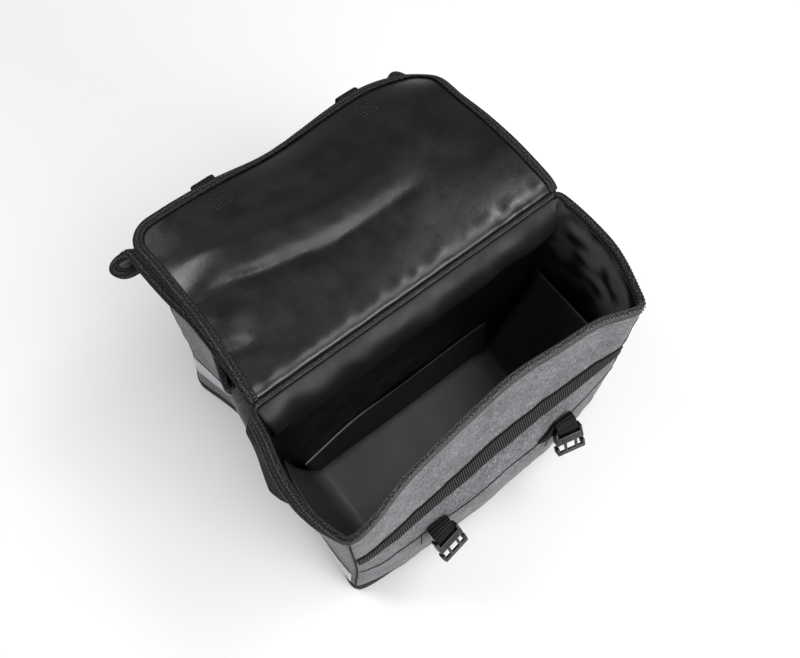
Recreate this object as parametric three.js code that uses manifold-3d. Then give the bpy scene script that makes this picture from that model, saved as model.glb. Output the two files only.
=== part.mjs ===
import * as THREE from 'three';
import { mergeVertices } from 'three/addons/utils/BufferGeometryUtils.js';
import Module from 'manifold-3d';

// Double bicycle pannier: two soft bags standing back to back, joined by a cloth bridge over the rack.
// The near bag is open, its lid thrown back over the far bag, and the far bag is buckled shut.
// Millimetres, +Z up, X along the bags. The near bag's front faces -Y, and each bag is built facing -Y.

// One bag
const LENGTH = 360;
const DEPTH = 143;
const HEIGHT = 292;
const FRONT_DROP = 12;
const FRONT_RIM = HEIGHT - FRONT_DROP;
const BACK_RIM = HEIGHT - 0.5;
const WALL = 2;
const BASE = 3;
const BAG_SPACING = 24;
const FAR_BAG_SHIFT = -8;
const CLEAR = 0.35;

// Binding tape round the mouth and the lid
const TAPE = 1;
const TAPE_CLEAR = 0.8;
const TAPE_LEG = 10;

// Lid
const LID_DEPTH = 204;
const LID_HALF = 178;
const LID_CORNER = 25;
const LID_RISE = 2;

// Webbing, ribbed band and reflective strips
const WEB_WIDTH = 25;
const WEB = 1.8;
const BAND = { low: 156, high: 177, thickness: 2 };
const REFLECTOR = { low: 52, high: 90, thickness: 1 };
const SIDE_STRAP = { width: 28, thickness: 2.4, top: 284, bottom: 50, inset: 3, stand: 9, splay: 11 };

// Side-release buckle, measured along its own length from the bar that holds the webbing
const BUCKLE = { width: 32, thick: 9.5, shell: 1.6, side: 2, bar: 1.25, plugBase: 15.5 };
const SOCKET = { slotEnd: 5.8, cavity: 8, mouth: 28, windowStart: 13, windowEnd: 22, thumb: 7.5, bevel: 4 };
const BUCKLE_LOOP = 2.9;
const WEB_SLACK = 0.7;
const CUT_THROUGH = 20;
// The plug's body has two slots for the webbing, and carries a middle tongue and two sprung prongs
const PLUG = { thick: 8, trim: 0.5, slots: [4.5, 11], slotWidth: 2.8, slotHalf: 13 };
const TONGUE = { half: 3, length: 14, thick: 4.8 };
const PRONG = { inner: 8, outer: 11.5, length: 15, thick: 4.4, headStart: 6.6, headEnd: 14.4, headOut: 0.2 };

// Cloth bridge between the bags, folded down into the gap
const BRIDGE = { length: 344, top: HEIGHT - 4, bottom: HEIGHT - 56 };

// Folded stiffener in the open bag
const INSERT = { sheet: 2, floorZ: 4.6, left: -143, right: 116, back: -12, front: -130 };
const END_FLAPS = { reach: 173, leftTop: 138, rightTop: 150, curl: 2.4 };
const BACK_FLAP = { top: 66, rise: 16, lean: 6 };

const CLOTH_GREY = 0x5b5c5e;
const LINING_BLACK = 0x17181a;
const TAPE_BLACK = 0x1c1c1e;
const PLASTIC_BLACK = 0x141416;
const REFLECTIVE = 0xb9bcc0;
const BOARD_GREY = 0x2c2d2f;

// How each bag has settled. Heights are above the floor, along runs from -1 to 1, share from back to front.
const NEAR_FORM = {
  belly: [
    { height: 0, out: 13 },
    { height: 40, out: 21 },
    { height: 90, out: 20 },
    { height: 130, out: 16 },
    { height: 178, out: 9 },
    { height: 280, out: 3 },
  ],
  bellySpread: [
    { along: -1, share: 0 },
    { along: -0.83, share: 0.66 },
    { along: -0.6, share: 0.9 },
    { along: -0.1, share: 1 },
    { along: 0.4, share: 0.88 },
    { along: 0.74, share: 0.5 },
    { along: 1, share: 0 },
  ],
  mouthBow: [
    { along: -1, inward: 0 },
    { along: -0.86, inward: 3 },
    { along: -0.62, inward: 15 },
    { along: -0.44, inward: 20 },
    { along: -0.06, inward: 27 },
    { along: 0.2, inward: 30 },
    { along: 0.5, inward: 25 },
    { along: 0.75, inward: 20 },
    { along: 0.88, inward: 11 },
    { along: 1, inward: 3 },
  ],
  leftMouth: [
    { share: 0, out: 0 },
    { share: 0.2, out: 3 },
    { share: 0.45, out: 11 },
    { share: 0.75, out: 11 },
    { share: 1, out: 1 },
  ],
  rightMouth: [
    { share: 0, out: 0 },
    { share: 0.3, out: 5 },
    { share: 0.6, out: 4 },
    { share: 1, out: -14 },
  ],
  endBelly: 7,
  footTuck: 0,
};
const FAR_FORM = {
  belly: [
    { height: 0, out: 8 },
    { height: 70, out: 14 },
    { height: 140, out: 12 },
    { height: 225, out: 8 },
    { height: 280, out: 4 },
  ],
  bellySpread: [
    { along: -1, share: 0 },
    { along: -0.75, share: 0.56 },
    { along: -0.4, share: 0.9 },
    { along: 0.4, share: 0.9 },
    { along: 0.75, share: 0.56 },
    { along: 1, share: 0 },
  ],
  mouthBow: [
    { along: -1, inward: 6 },
    { along: 0, inward: 4 },
    { along: 1, inward: 6 },
  ],
  leftMouth: [
    { share: 0, out: -1 },
    { share: 0.5, out: -20 },
    { share: 1, out: -13 },
  ],
  rightMouth: [
    { share: 0, out: -1 },
    { share: 0.5, out: -20 },
    { share: 1, out: -13 },
  ],
  endBelly: 9,
  footTuck: 14,
};
const FOOT_TUCK_TOP = 150;
// Share of the mouth's bow that the front panel shows at each height
const BOW_BY_HEIGHT = [
  { height: 100, share: 0 },
  { height: 130, share: 0.18 },
  { height: 157, share: 0.43 },
  { height: 178, share: 0.62 },
  { height: 235, share: 0.88 },
  { height: 280, share: 1 },
];

// The open lid: height above its seam by distance from it, the droop of its free edge, and of its right edge
const OPEN_LID = {
  rise: [
    { from: 0, up: 0 },
    { from: 8, up: 6 },
    { from: 28, up: 11 },
    { from: 90, up: 15 },
    { from: 165, up: 15 },
    { from: 204, up: 13 },
  ],
  freeEdge: [
    { along: -1, drop: -1 },
    { along: -0.5, drop: 1 },
    { along: -0.1, drop: 14 },
    { along: 0.4, drop: 3 },
    { along: 1, drop: 6 },
  ],
  rightEdge: [
    { from: 0, drop: 0 },
    { from: 60, drop: 1 },
    { from: 100, drop: 7 },
    { from: 145, drop: 18 },
    { from: 175, drop: 22 },
    { from: 204, drop: 36 },
  ],
  freeStart: 160,
  rightStart: 0.5,
  rows: [0, 8, 28, 60, 95, 130, 158],
  columns: 18,
};
// The closed lid: flat run over the mouth, then a round fold and the flap down the front, pulled askew
const CLOSED_LID = {
  run: 148,
  fold: 18,
  crown: 5,
  skew: [
    { from: 0, aside: -8 },
    { from: 60, aside: -6 },
    { from: 150, aside: 14 },
    { from: 204, aside: 14 },
  ],
  sagAcross: 13,
  sagStart: 0.5,
  rows: [0, 10, 40, 85, 125, 148],
  foldSteps: 5,
  columns: 14,
};

// How far webbing on the lid lies from the middle of its cloth, clear of the tape
const STRAP_AWAY = WALL / 2 + TAPE_CLEAR + TAPE + 2 * CLEAR + WEB / 2;
const CLOSED_STRAP_OUT = CLOSED_LID.run + CLEAR + CLOSED_LID.fold + STRAP_AWAY;
// Buckle sockets: root is the height of the webbing on the front, barOut the bar's distance from the back,
// lift the bar's height over the root, and pitch the way the mouth points, up when above zero
const BUCKLES = {
  near: [
    { name: 'left', x: -88, root: 124, barOut: 171, lift: -2, pitch: -55 },
    { name: 'right', x: 84, root: 124, barOut: 166, lift: 0, pitch: -55 },
  ],
  far: [
    { name: 'left', x: -88, root: 142, barOut: CLOSED_STRAP_OUT, lift: 34, pitch: 90 },
    { name: 'right', x: 88, root: 142, barOut: CLOSED_STRAP_OUT, lift: 34, pitch: 90 },
  ],
};
const LID_STRAP = { start: 170, reach: 5, bend: 8, hang: 24 };

const wasm = await Module();
wasm.setup();

/** Smooth value from a table's rows: cubic between rows, held level past both ends. */
function readTable(rows, key, value, at) {
  if (at <= rows[0][key]) return rows[0][value];
  const last = rows.length - 1;
  if (at >= rows[last][key]) return rows[last][value];
  let i = 0;
  while (at > rows[i + 1][key]) i += 1;
  const slope = (a, b) => (rows[b][value] - rows[a][value]) / (rows[b][key] - rows[a][key]);
  const span = rows[i + 1][key] - rows[i][key];
  const start = slope(Math.max(i - 1, 0), i + 1) * span;
  const end = slope(i, Math.min(i + 2, last)) * span;
  const t = (at - rows[i][key]) / span;
  const rise = rows[i + 1][value] - rows[i][value];
  const cubic = start + end - 2 * rise;
  const square = 3 * rise - 2 * start - end;
  return rows[i][value] + t * (start + t * (square + t * cubic));
}

/** Signed volume of a closed indexed geometry, positive when its faces point out. */
function signedVolume(geometry) {
  const point = geometry.attributes.position;
  const index = geometry.index;
  const corner = [new THREE.Vector3(), new THREE.Vector3(), new THREE.Vector3()];
  let volume = 0;
  for (let i = 0; i < index.count; i += 3) {
    corner.forEach((c, k) => c.fromBufferAttribute(point, index.getX(i + k)));
    volume += corner[0].dot(corner[1].cross(corner[2])) / 6;
  }
  return volume;
}

/** A box grid of nu x nv x 1 cells with every vertex moved to place(i, j, side), side being -0.5 or 0.5. */
function bendBox(nu, nv, place) {
  const box = new THREE.BoxGeometry(nu, nv, 1, nu, nv, 1);
  box.deleteAttribute('normal');
  box.deleteAttribute('uv');
  const geometry = mergeVertices(box);
  const point = geometry.attributes.position;
  for (let n = 0; n < point.count; n += 1) {
    const i = Math.round(point.getX(n) + nu / 2);
    const j = Math.round(point.getY(n) + nv / 2);
    const placed = place(i, j, point.getZ(n));
    point.setXYZ(n, placed.x, placed.y, placed.z);
  }
  if (signedVolume(geometry) < 0) {
    const index = geometry.index;
    for (let i = 0; i < index.count; i += 3) {
      const second = index.getX(i + 1);
      index.setX(i + 1, index.getX(i + 2));
      index.setX(i + 2, second);
    }
  }
  geometry.computeVertexNormals();
  return geometry;
}

/** Unit normal of a surface given as a function of two numbers. */
function normalAt(surface, a, b, step = 0.01) {
  const alongA = surface(a + step, b).sub(surface(a - step, b));
  const alongB = surface(a, b + step).sub(surface(a, b - step));
  return alongA.cross(alongB).normalize();
}

/** A cloth wall of even thickness over surface(a, b), with its grid lines at the values in two lists. */
function cloth(surface, listA, listB, thickness, offset = 0) {
  return bendBox(listA.length - 1, listB.length - 1, (i, j, side) => {
    const normal = normalAt(surface, listA[i], listB[j]);
    return surface(listA[i], listB[j]).addScaledVector(normal, offset + side * thickness);
  });
}

/** Evenly spaced numbers from a to b. */
function spaced(a, b, steps) {
  return Array.from({ length: steps + 1 }, (_, i) => THREE.MathUtils.lerp(a, b, i / steps));
}

/** Binding tape folded over a cloth edge. A frame has edge and inset points, their normals, and out. */
function bindingTape(frames) {
  const half = WALL / 2 + TAPE_CLEAR + TAPE / 2;
  const over = TAPE_CLEAR + TAPE / 2;
  return bendBox(frames.length - 1, 3, (i, j, side) => {
    const frame = frames[i];
    const hand = j < 2 ? 1 : -1;
    const atEdge = j === 1 || j === 2;
    const normal = atEdge ? frame.normal : frame.insetNormal;
    const point = (atEdge ? frame.edge : frame.inset).clone();
    point.addScaledVector(normal, hand * (half + side * TAPE));
    if (atEdge) point.addScaledVector(frame.out, over + side * TAPE);
    return point;
  });
}

/** A flat strap along points in a plane square to X, centred on x. */
function ribbon(points, x, width, thickness) {
  const across = new THREE.Vector3(1, 0, 0);
  return bendBox(1, points.length - 1, (i, j, side) => {
    const before = points[Math.max(j - 1, 0)];
    const after = points[Math.min(j + 1, points.length - 1)];
    const normal = after.clone().sub(before).cross(across).normalize();
    const point = points[j].clone().addScaledVector(normal, side * thickness);
    point.x += x + (i - 0.5) * width;
    return point;
  });
}

function toSolid(geometry) {
  const bare = geometry.clone();
  bare.deleteAttribute('normal');
  bare.deleteAttribute('uv');
  const merged = mergeVertices(bare);
  return new wasm.Manifold(
    new wasm.Mesh({
      numProp: 3,
      vertProperties: new Float32Array(merged.attributes.position.array),
      triVerts: new Uint32Array(merged.index.array),
    }),
  );
}

function toGeometry(solid) {
  const mesh = solid.getMesh();
  const geometry = new THREE.BufferGeometry();
  geometry.setAttribute('position', new THREE.BufferAttribute(mesh.vertProperties, 3));
  geometry.setIndex(new THREE.BufferAttribute(mesh.triVerts, 1));
  geometry.computeVertexNormals();
  return geometry;
}

/** A block between two corners, as a solid for cutting and joining. */
function block(low, high) {
  const size = high.map((value, k) => value - low[k]);
  const centre = high.map((value, k) => (value + low[k]) / 2);
  return toSolid(new THREE.BoxGeometry(...size).translate(...centre));
}

function addMesh(group, name, geometry, color, roughness) {
  const material = new THREE.MeshStandardMaterial({ color, roughness, metalness: 0 });
  const mesh = new THREE.Mesh(geometry, material);
  mesh.name = name;
  group.add(mesh);
  return mesh;
}

/** Surfaces of one bag, midway through the cloth. side is -1 for the left end and 1 for the right. */
function bagSurfaces(form) {
  const endOut = (side, share, z) => {
    const mouth = readTable(side < 0 ? form.leftMouth : form.rightMouth, 'share', 'out', share);
    const rise = z / HEIGHT;
    const belly = form.endBelly * Math.sin(Math.PI * Math.min(rise, 1)) * 4 * share * (1 - share);
    return belly + mouth * rise * rise;
  };
  const frontY = (along, z) => {
    const spread = readTable(form.bellySpread, 'along', 'share', along);
    const belly = readTable(form.belly, 'height', 'out', z) * spread;
    const bow = readTable(form.mouthBow, 'along', 'inward', along);
    return -(DEPTH + belly - bow * readTable(BOW_BY_HEIGHT, 'height', 'share', z));
  };
  const tuck = (z) => form.footTuck * Math.max(1 - z / FOOT_TUCK_TOP, 0) ** 2;
  const cornerX = (side, z) => side * (LENGTH / 2 + endOut(side, 1, z));
  return {
    front: (along, z) => {
      const left = cornerX(-1, z) - WALL / 2;
      const right = cornerX(1, z) + WALL / 2;
      return new THREE.Vector3(THREE.MathUtils.lerp(left, right, (along + 1) / 2), frontY(along, z), z);
    },
    end: (side) => (share, up) => {
      const z = up * (HEIGHT - FRONT_DROP * share);
      const first = WALL + CLEAR;
      const last = -frontY(side, z) - WALL / 2 - 1.2;
      const x = side * (LENGTH / 2 + endOut(side, share, z) - (1 - share) * tuck(z));
      return new THREE.Vector3(x, -THREE.MathUtils.lerp(first, last, share), z);
    },
    corner: (side, z) => new THREE.Vector3(cornerX(side, z), frontY(side, z), z),
    backHalf: (z) => LENGTH / 2 + WALL / 2 - tuck(z),
  };
}

/** Tape frame at the mouth, from the wall's surface at its rim and a tape's leg below it. */
function rimFrame(surface, a, rim, below, hand) {
  const edge = surface(a, rim);
  const inset = surface(a, below);
  return {
    edge,
    inset,
    normal: normalAt(surface, a, rim).multiplyScalar(hand),
    insetNormal: normalAt(surface, a, below).multiplyScalar(hand),
    out: edge.clone().sub(inset).normalize(),
  };
}

/** Tape frame where two walls meet: its offset clears both of them. */
function mitreFrame(corner, one, other, height) {
  const mitre = (a, b) => a.clone().add(b).divideScalar(1 + a.dot(b));
  return {
    edge: corner(height),
    inset: corner(height - TAPE_LEG),
    normal: mitre(one.normal, other.normal),
    insetNormal: mitre(one.insetNormal, other.insetNormal),
    out: one.out.clone().add(other.out).normalize(),
  };
}

/** Tape over the mouth's three free edges: up the left end, along the front and back along the right end. */
function rimTape(surfaces, alongList, shareList) {
  const below = 1 - TAPE_LEG / HEIGHT;
  const endFrames = (side) =>
    shareList.slice(1, -1).map((share) => rimFrame(surfaces.end(side), share, 1, below, -side));
  const left = endFrames(-1);
  const right = endFrames(1).reverse();
  const front = alongList
    .slice(1, -1)
    .map((along) => rimFrame(surfaces.front, along, FRONT_RIM, FRONT_RIM - TAPE_LEG, 1));
  const corner = (side) => (z) => surfaces.corner(side, z);
  const leftCorner = mitreFrame(corner(-1), left[left.length - 1], front[0], FRONT_RIM);
  const rightCorner = mitreFrame(corner(1), front[front.length - 1], right[0], FRONT_RIM);
  return bindingTape([...left, leftCorner, ...front, rightCorner, ...right]);
}

/** Flat base: its front edge follows the front panel's foot. */
function baseGeometry(surfaces, alongList) {
  const outline = new THREE.Shape();
  alongList.forEach((along, i) => {
    const foot = surfaces.front(along, 0);
    if (i === 0) outline.moveTo(foot.x, foot.y - WALL / 2);
    else outline.lineTo(foot.x, foot.y - WALL / 2);
  });
  const backHalf = surfaces.backHalf(0);
  outline.lineTo(backHalf, 0);
  outline.lineTo(-backHalf, 0);
  outline.closePath();
  return new THREE.ExtrudeGeometry(outline, { depth: BASE, bevelEnabled: false });
}

/** Webbing that hangs outside the left end, near the back. */
function sideStrapGeometry() {
  const { width, thickness, top, bottom, inset, stand, splay } = SIDE_STRAP;
  const surface = (y, t) => {
    const x = -(LENGTH / 2 + stand + splay * Math.max(t, 0) ** 1.3);
    return new THREE.Vector3(x, y, THREE.MathUtils.lerp(top, bottom, t));
  };
  return cloth(surface, [-inset - width, -inset], spaced(0, 1, 8), thickness);
}

/** The five sewn walls of a bag, with the tape, band, strips and side strap that are sewn on them. */
function addBody(group, prefix, form) {
  const surfaces = bagSurfaces(form);
  const low = BASE + CLEAR;
  const alongList = spaced(-1, 1, 16);
  const shareList = spaced(0, 1, 8);

  const belowTape = FRONT_RIM - TAPE_LEG;
  const heights = [...spaced(low, BAND.low, 5), ...spaced(BAND.high, belowTape, 3), FRONT_RIM];
  addMesh(group, `${prefix}_front_panel`, cloth(surfaces.front, alongList, heights, WALL), CLOTH_GREY, 0.9);
  const backWall = (along, z) => new THREE.Vector3(along * surfaces.backHalf(z), -WALL / 2, z);
  const backGeometry = cloth(backWall, spaced(-1, 1, 6), spaced(low, BACK_RIM, 8), WALL);
  addMesh(group, `${prefix}_back_panel`, backGeometry, LINING_BLACK, 0.4);
  addMesh(group, `${prefix}_base_panel`, baseGeometry(surfaces, alongList), TAPE_BLACK, 0.8);

  const stripShares = [...shareList.slice(1, -1), 0.97];
  const stripOut = WALL / 2 + TAPE_CLEAR + REFLECTOR.thickness / 2;
  for (const [word, side] of Object.entries({ left: -1, right: 1 })) {
    const end = surfaces.end(side);
    const panel = cloth(end, shareList, spaced(low / FRONT_RIM, 1, 8), WALL);
    addMesh(group, `${prefix}_${word}_end_panel`, panel, CLOTH_GREY, 0.9);
    const strip = (share, z) => end(share, z / HEIGHT);
    const stripHeights = [REFLECTOR.low, REFLECTOR.high];
    const reflector = cloth(strip, stripShares, stripHeights, REFLECTOR.thickness, -side * stripOut);
    addMesh(group, `${prefix}_${word}_reflector`, reflector, REFLECTIVE, 0.4);
  }
  addMesh(group, `${prefix}_rim_binding`, rimTape(surfaces, alongList, shareList), TAPE_BLACK, 0.8);

  const bandOut = WALL / 2 + TAPE_CLEAR + CLEAR + BAND.thickness / 2;
  const bandAlong = [-0.985, ...alongList.slice(1, -1), 0.985];
  const band = cloth(surfaces.front, bandAlong, [BAND.low, BAND.high], BAND.thickness, bandOut);
  addMesh(group, `${prefix}_front_band`, band, TAPE_BLACK, 0.8);
  addMesh(group, `${prefix}_side_strap`, sideStrapGeometry(), TAPE_BLACK, 0.8);
  return surfaces;
}

/** Half width of the lid at a distance from its seam, with its two free corners rounded. */
function lidHalf(from) {
  const into = from - (LID_DEPTH - LID_CORNER);
  if (into <= 0) return LID_HALF;
  return LID_HALF - LID_CORNER + Math.sqrt(Math.max(LID_CORNER ** 2 - into ** 2, 0));
}

function openLidPoint(x, from) {
  const along = x / LID_HALF;
  const rise = readTable(OPEN_LID.rise, 'from', 'up', from);
  const reach = THREE.MathUtils.clamp((from - OPEN_LID.freeStart) / (LID_DEPTH - OPEN_LID.freeStart), 0, 1.2);
  const free = readTable(OPEN_LID.freeEdge, 'along', 'drop', along) * reach ** 2;
  const aside = Math.max((along - OPEN_LID.rightStart) / (1 - OPEN_LID.rightStart), 0);
  const right = readTable(OPEN_LID.rightEdge, 'from', 'drop', from) * aside ** 1.6;
  return new THREE.Vector3(x, from + CLEAR, HEIGHT + LID_RISE + rise - free - right);
}

function closedLidPoint(x, from) {
  const { run, fold, crown, skew, sagAcross, sagStart } = CLOSED_LID;
  const quarter = (fold * Math.PI) / 2;
  const top = HEIGHT + LID_RISE + crown;
  const aside = Math.max((-x / LID_HALF - sagStart) / (1 - sagStart), 0);
  const sag = sagAcross * aside ** 2 * THREE.MathUtils.smoothstep(from, 30, run);
  const point = new THREE.Vector3(x + readTable(skew, 'from', 'aside', from), 0, top - sag);
  if (from < run) {
    point.y = -from - CLEAR;
    point.z -= crown * (1 - THREE.MathUtils.smoothstep(from, -4, 28));
  } else if (from < run + quarter) {
    const turn = (from - run) / fold;
    point.y = -run - CLEAR - fold * Math.sin(turn);
    point.z -= fold * (1 - Math.cos(turn));
  } else {
    point.y = -run - CLEAR - fold;
    point.z -= fold + from - run - quarter;
  }
  return point;
}

/** A lid: its cloth with rounded free corners, and the tape round its three free edges. */
function addLid(group, prefix, surface, firstRows, columns) {
  const cornerSteps = 4;
  const turns = spaced(0, Math.PI / 2, cornerSteps);
  const cornerRows = turns.map((turn) => LID_DEPTH - LID_CORNER + LID_CORNER * Math.sin(turn));
  const rows = [...firstRows, ...cornerRows];
  const alongList = spaced(-1, 1, columns);
  const sheet = (along, from) => surface(along * lidHalf(from), from);
  const lid = bendBox(columns, rows.length - 1, (i, j, side) => {
    const x = alongList[i] * lidHalf(rows[j]);
    const normal = normalAt(surface, x, rows[j]);
    return sheet(alongList[i], rows[j]).addScaledVector(normal, side * WALL);
  });
  addMesh(group, `${prefix}_lid`, lid, CLOTH_GREY, 0.85);

  const frameAt = (x, from, outX, outFrom) => {
    const edge = surface(x, from);
    const inX = x - outX * TAPE_LEG;
    const inFrom = from - outFrom * TAPE_LEG;
    const inset = surface(inX, inFrom);
    return {
      edge,
      inset,
      normal: normalAt(surface, x, from),
      insetNormal: normalAt(surface, inX, inFrom),
      out: surface(x + outX * 0.01, from + outFrom * 0.01).sub(edge).normalize(),
    };
  };
  const sideFrames = (side) => [
    ...firstRows.slice(1).map((from) => frameAt(side * LID_HALF, from, side, 0)),
    ...turns.map((turn, k) => {
      const x = side * (LID_HALF - LID_CORNER + LID_CORNER * Math.cos(turn));
      return frameAt(x, cornerRows[k], side * Math.cos(turn), Math.sin(turn));
    }),
  ];
  const freeFrames = alongList
    .slice(1, -1)
    .map((along) => frameAt(along * (LID_HALF - LID_CORNER), LID_DEPTH, 0, 1));
  const frames = [...sideFrames(-1), ...freeFrames, ...sideFrames(1).reverse()];
  addMesh(group, `${prefix}_lid_binding`, bindingTape(frames), TAPE_BLACK, 0.8);
  return rows;
}

/** Female half of a buckle: bar at the origin, mouth towards -Y. */
function socketGeometry() {
  const half = BUCKLE.width / 2;
  const thick = BUCKLE.thick / 2;
  const webHalf = WEB_WIDTH / 2 + WEB_SLACK;
  const outline = new THREE.Shape();
  outline.moveTo(-half, -SOCKET.mouth);
  outline.lineTo(half, -SOCKET.mouth);
  outline.lineTo(half, BUCKLE.bar - SOCKET.bevel);
  outline.lineTo(half - SOCKET.bevel, BUCKLE.bar);
  outline.lineTo(-half + SOCKET.bevel, BUCKLE.bar);
  outline.lineTo(-half, BUCKLE.bar - SOCKET.bevel);
  outline.closePath();
  const shell = new THREE.ExtrudeGeometry(outline, { depth: BUCKLE.thick, bevelEnabled: false });
  const webWindow = block([-webHalf, -SOCKET.slotEnd, -CUT_THROUGH], [webHalf, CUT_THROUGH, CUT_THROUGH]);
  const bar = block([-webHalf - 0.5, -BUCKLE.bar, -BUCKLE.bar], [webHalf + 0.5, BUCKLE.bar, BUCKLE.bar]);
  const room = thick - BUCKLE.shell;
  const inside = half - BUCKLE.side;
  const cavity = block([-inside, -SOCKET.mouth - 1, -room], [inside, -SOCKET.cavity, room]);
  const windows = block([-half - 1, -SOCKET.windowEnd, -room], [half + 1, -SOCKET.windowStart, room]);
  const thumb = new THREE.CylinderGeometry(SOCKET.thumb, SOCKET.thumb, CUT_THROUGH, 16).rotateX(Math.PI / 2);
  thumb.translate(0, -SOCKET.mouth, 0);
  const body = toSolid(shell.translate(0, 0, -thick))
    .subtract(webWindow)
    .add(bar)
    .subtract(cavity)
    .subtract(windows)
    .subtract(toSolid(thumb));
  return toGeometry(body);
}

/** Male half of a buckle: prongs towards +Y from y = 0, its webbing end at y = -plugBase. */
function plugGeometry() {
  const half = BUCKLE.width / 2 - PLUG.trim;
  const root = -2 * CLEAR;
  const base = block([-half, -BUCKLE.plugBase, -PLUG.thick / 2], [half, -CLEAR, PLUG.thick / 2]);
  const slots = PLUG.slots.map((back) => {
    const low = [-PLUG.slotHalf, -back - PLUG.slotWidth / 2, -CUT_THROUGH];
    return block(low, [PLUG.slotHalf, -back + PLUG.slotWidth / 2, CUT_THROUGH]);
  });
  const tongueHigh = [TONGUE.half, TONGUE.length, TONGUE.thick / 2];
  const tongue = block([-TONGUE.half, root, -TONGUE.thick / 2], tongueHigh);
  const prong = (side) => {
    const bar = (out, start, end) => {
      const [left, right] = [side * PRONG.inner, side * out].sort((a, b) => a - b);
      return block([left, start, -PRONG.thick / 2], [right, end, PRONG.thick / 2]);
    };
    const head = bar(half + PRONG.headOut, PRONG.headStart, PRONG.headEnd);
    return bar(PRONG.outer, root, PRONG.length).add(head);
  };
  let plug = base.add(tongue).add(prong(-1)).add(prong(1));
  slots.forEach((slot) => {
    plug = plug.subtract(slot);
  });
  return toGeometry(plug);
}

/** Webbing loop from the front panel round the socket's bar, and the socket on it. */
function addSocket(group, prefix, surfaces, row) {
  const wallY = surfaces.front(row.x / (LENGTH / 2), row.root).y - WALL / 2;
  const holder = new THREE.Group();
  holder.position.set(row.x, wallY, row.root);
  group.add(holder);

  const bar = new THREE.Vector3(0, -row.barOut - wallY, row.lift);
  const run = bar.clone().normalize();
  const across = new THREE.Vector3(0, run.z, -run.y);
  const rootGap = CLEAR + 1 + row.lift / 8;
  const root = (hand) => run.clone().multiplyScalar(rootGap).addScaledVector(across, hand * 1.2);
  const round = spaced(Math.PI / 2, -Math.PI / 2, 6).map((turn) => {
    const point = bar.clone().addScaledVector(run, BUCKLE_LOOP * Math.cos(turn));
    return point.addScaledVector(across, BUCKLE_LOOP * Math.sin(turn));
  });
  const path = [root(1), ...round, root(-1)];
  addMesh(holder, `${prefix}_${row.name}_buckle_strap`, ribbon(path, 0, WEB_WIDTH, WEB), TAPE_BLACK, 0.8);

  const socket = addMesh(holder, `${prefix}_${row.name}_socket`, socketGeometry(), PLASTIC_BLACK, 0.4);
  socket.position.copy(bar);
  socket.rotation.x = -THREE.MathUtils.degToRad(row.pitch);
}

/** Way of the webbing past the lid's free edge: straight on for a reach, round a bend and then down. */
function hangingWay(length) {
  const { reach, bend } = LID_STRAP;
  const quarter = (bend * Math.PI) / 2;
  if (length < reach) return new THREE.Vector3(0, length, 0);
  const turn = Math.min((length - reach) / bend, Math.PI / 2);
  const down = Math.max(length - reach - quarter, 0);
  return new THREE.Vector3(0, reach + bend * Math.sin(turn), bend * (Math.cos(turn) - 1) - down);
}

/** Webbing on the outside of the lid, running past its free edge, with the plug at its end. */
function addLidStrap(group, prefix, name, surface, x, rows, pastEdge, wayPast) {
  const strap = (across, t) => {
    const from = Math.min(t, LID_DEPTH);
    const normal = normalAt(surface, x + across, from);
    const point = surface(x + across, from).addScaledVector(normal, -STRAP_AWAY);
    return point.add(wayPast(t - from));
  };
  const lidRows = [LID_STRAP.start, ...rows.filter((row) => row > LID_STRAP.start)];
  const ts = [...lidRows, ...pastEdge.map((length) => LID_DEPTH + length)];
  const geometry = cloth(strap, spaced(-WEB_WIDTH / 2, WEB_WIDTH / 2, 2), ts, WEB);
  addMesh(group, `${prefix}_${name}_lid_strap`, geometry, TAPE_BLACK, 0.8);

  const tipCorners = [-1, 1].map((hand) => strap((hand * WEB_WIDTH) / 2, ts[ts.length - 1]));
  const tip = tipCorners[0].clone().lerp(tipCorners[1], 0.5);
  tip.z = Math.min(tipCorners[0].z, tipCorners[1].z);
  const plug = addMesh(group, `${prefix}_${name}_plug`, plugGeometry(), PLASTIC_BLACK, 0.4);
  plug.rotation.x = -Math.PI / 2;
  plug.position.set(tip.x, tip.y, tip.z - 2 * CLEAR - BUCKLE.plugBase);
}

/** The cloth between the two bags: down one back, round and up the other. */
function addBridge(group) {
  const leg = CLEAR + WALL / 2;
  const radius = BAG_SPACING / 2 - leg;
  const fold = spaced(Math.PI, 2 * Math.PI, 6).map((turn) => {
    const y = BAG_SPACING / 2 + radius * Math.cos(turn);
    return new THREE.Vector3(0, y, BRIDGE.bottom + radius + radius * Math.sin(turn));
  });
  const near = new THREE.Vector3(0, leg, BRIDGE.top);
  const far = new THREE.Vector3(0, BAG_SPACING - leg, BRIDGE.top);
  const geometry = ribbon([near, ...fold, far], FAR_BAG_SHIFT / 2, BRIDGE.length, WALL);
  addMesh(group, 'bridge', geometry, CLOTH_GREY, 0.9);
}

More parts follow.
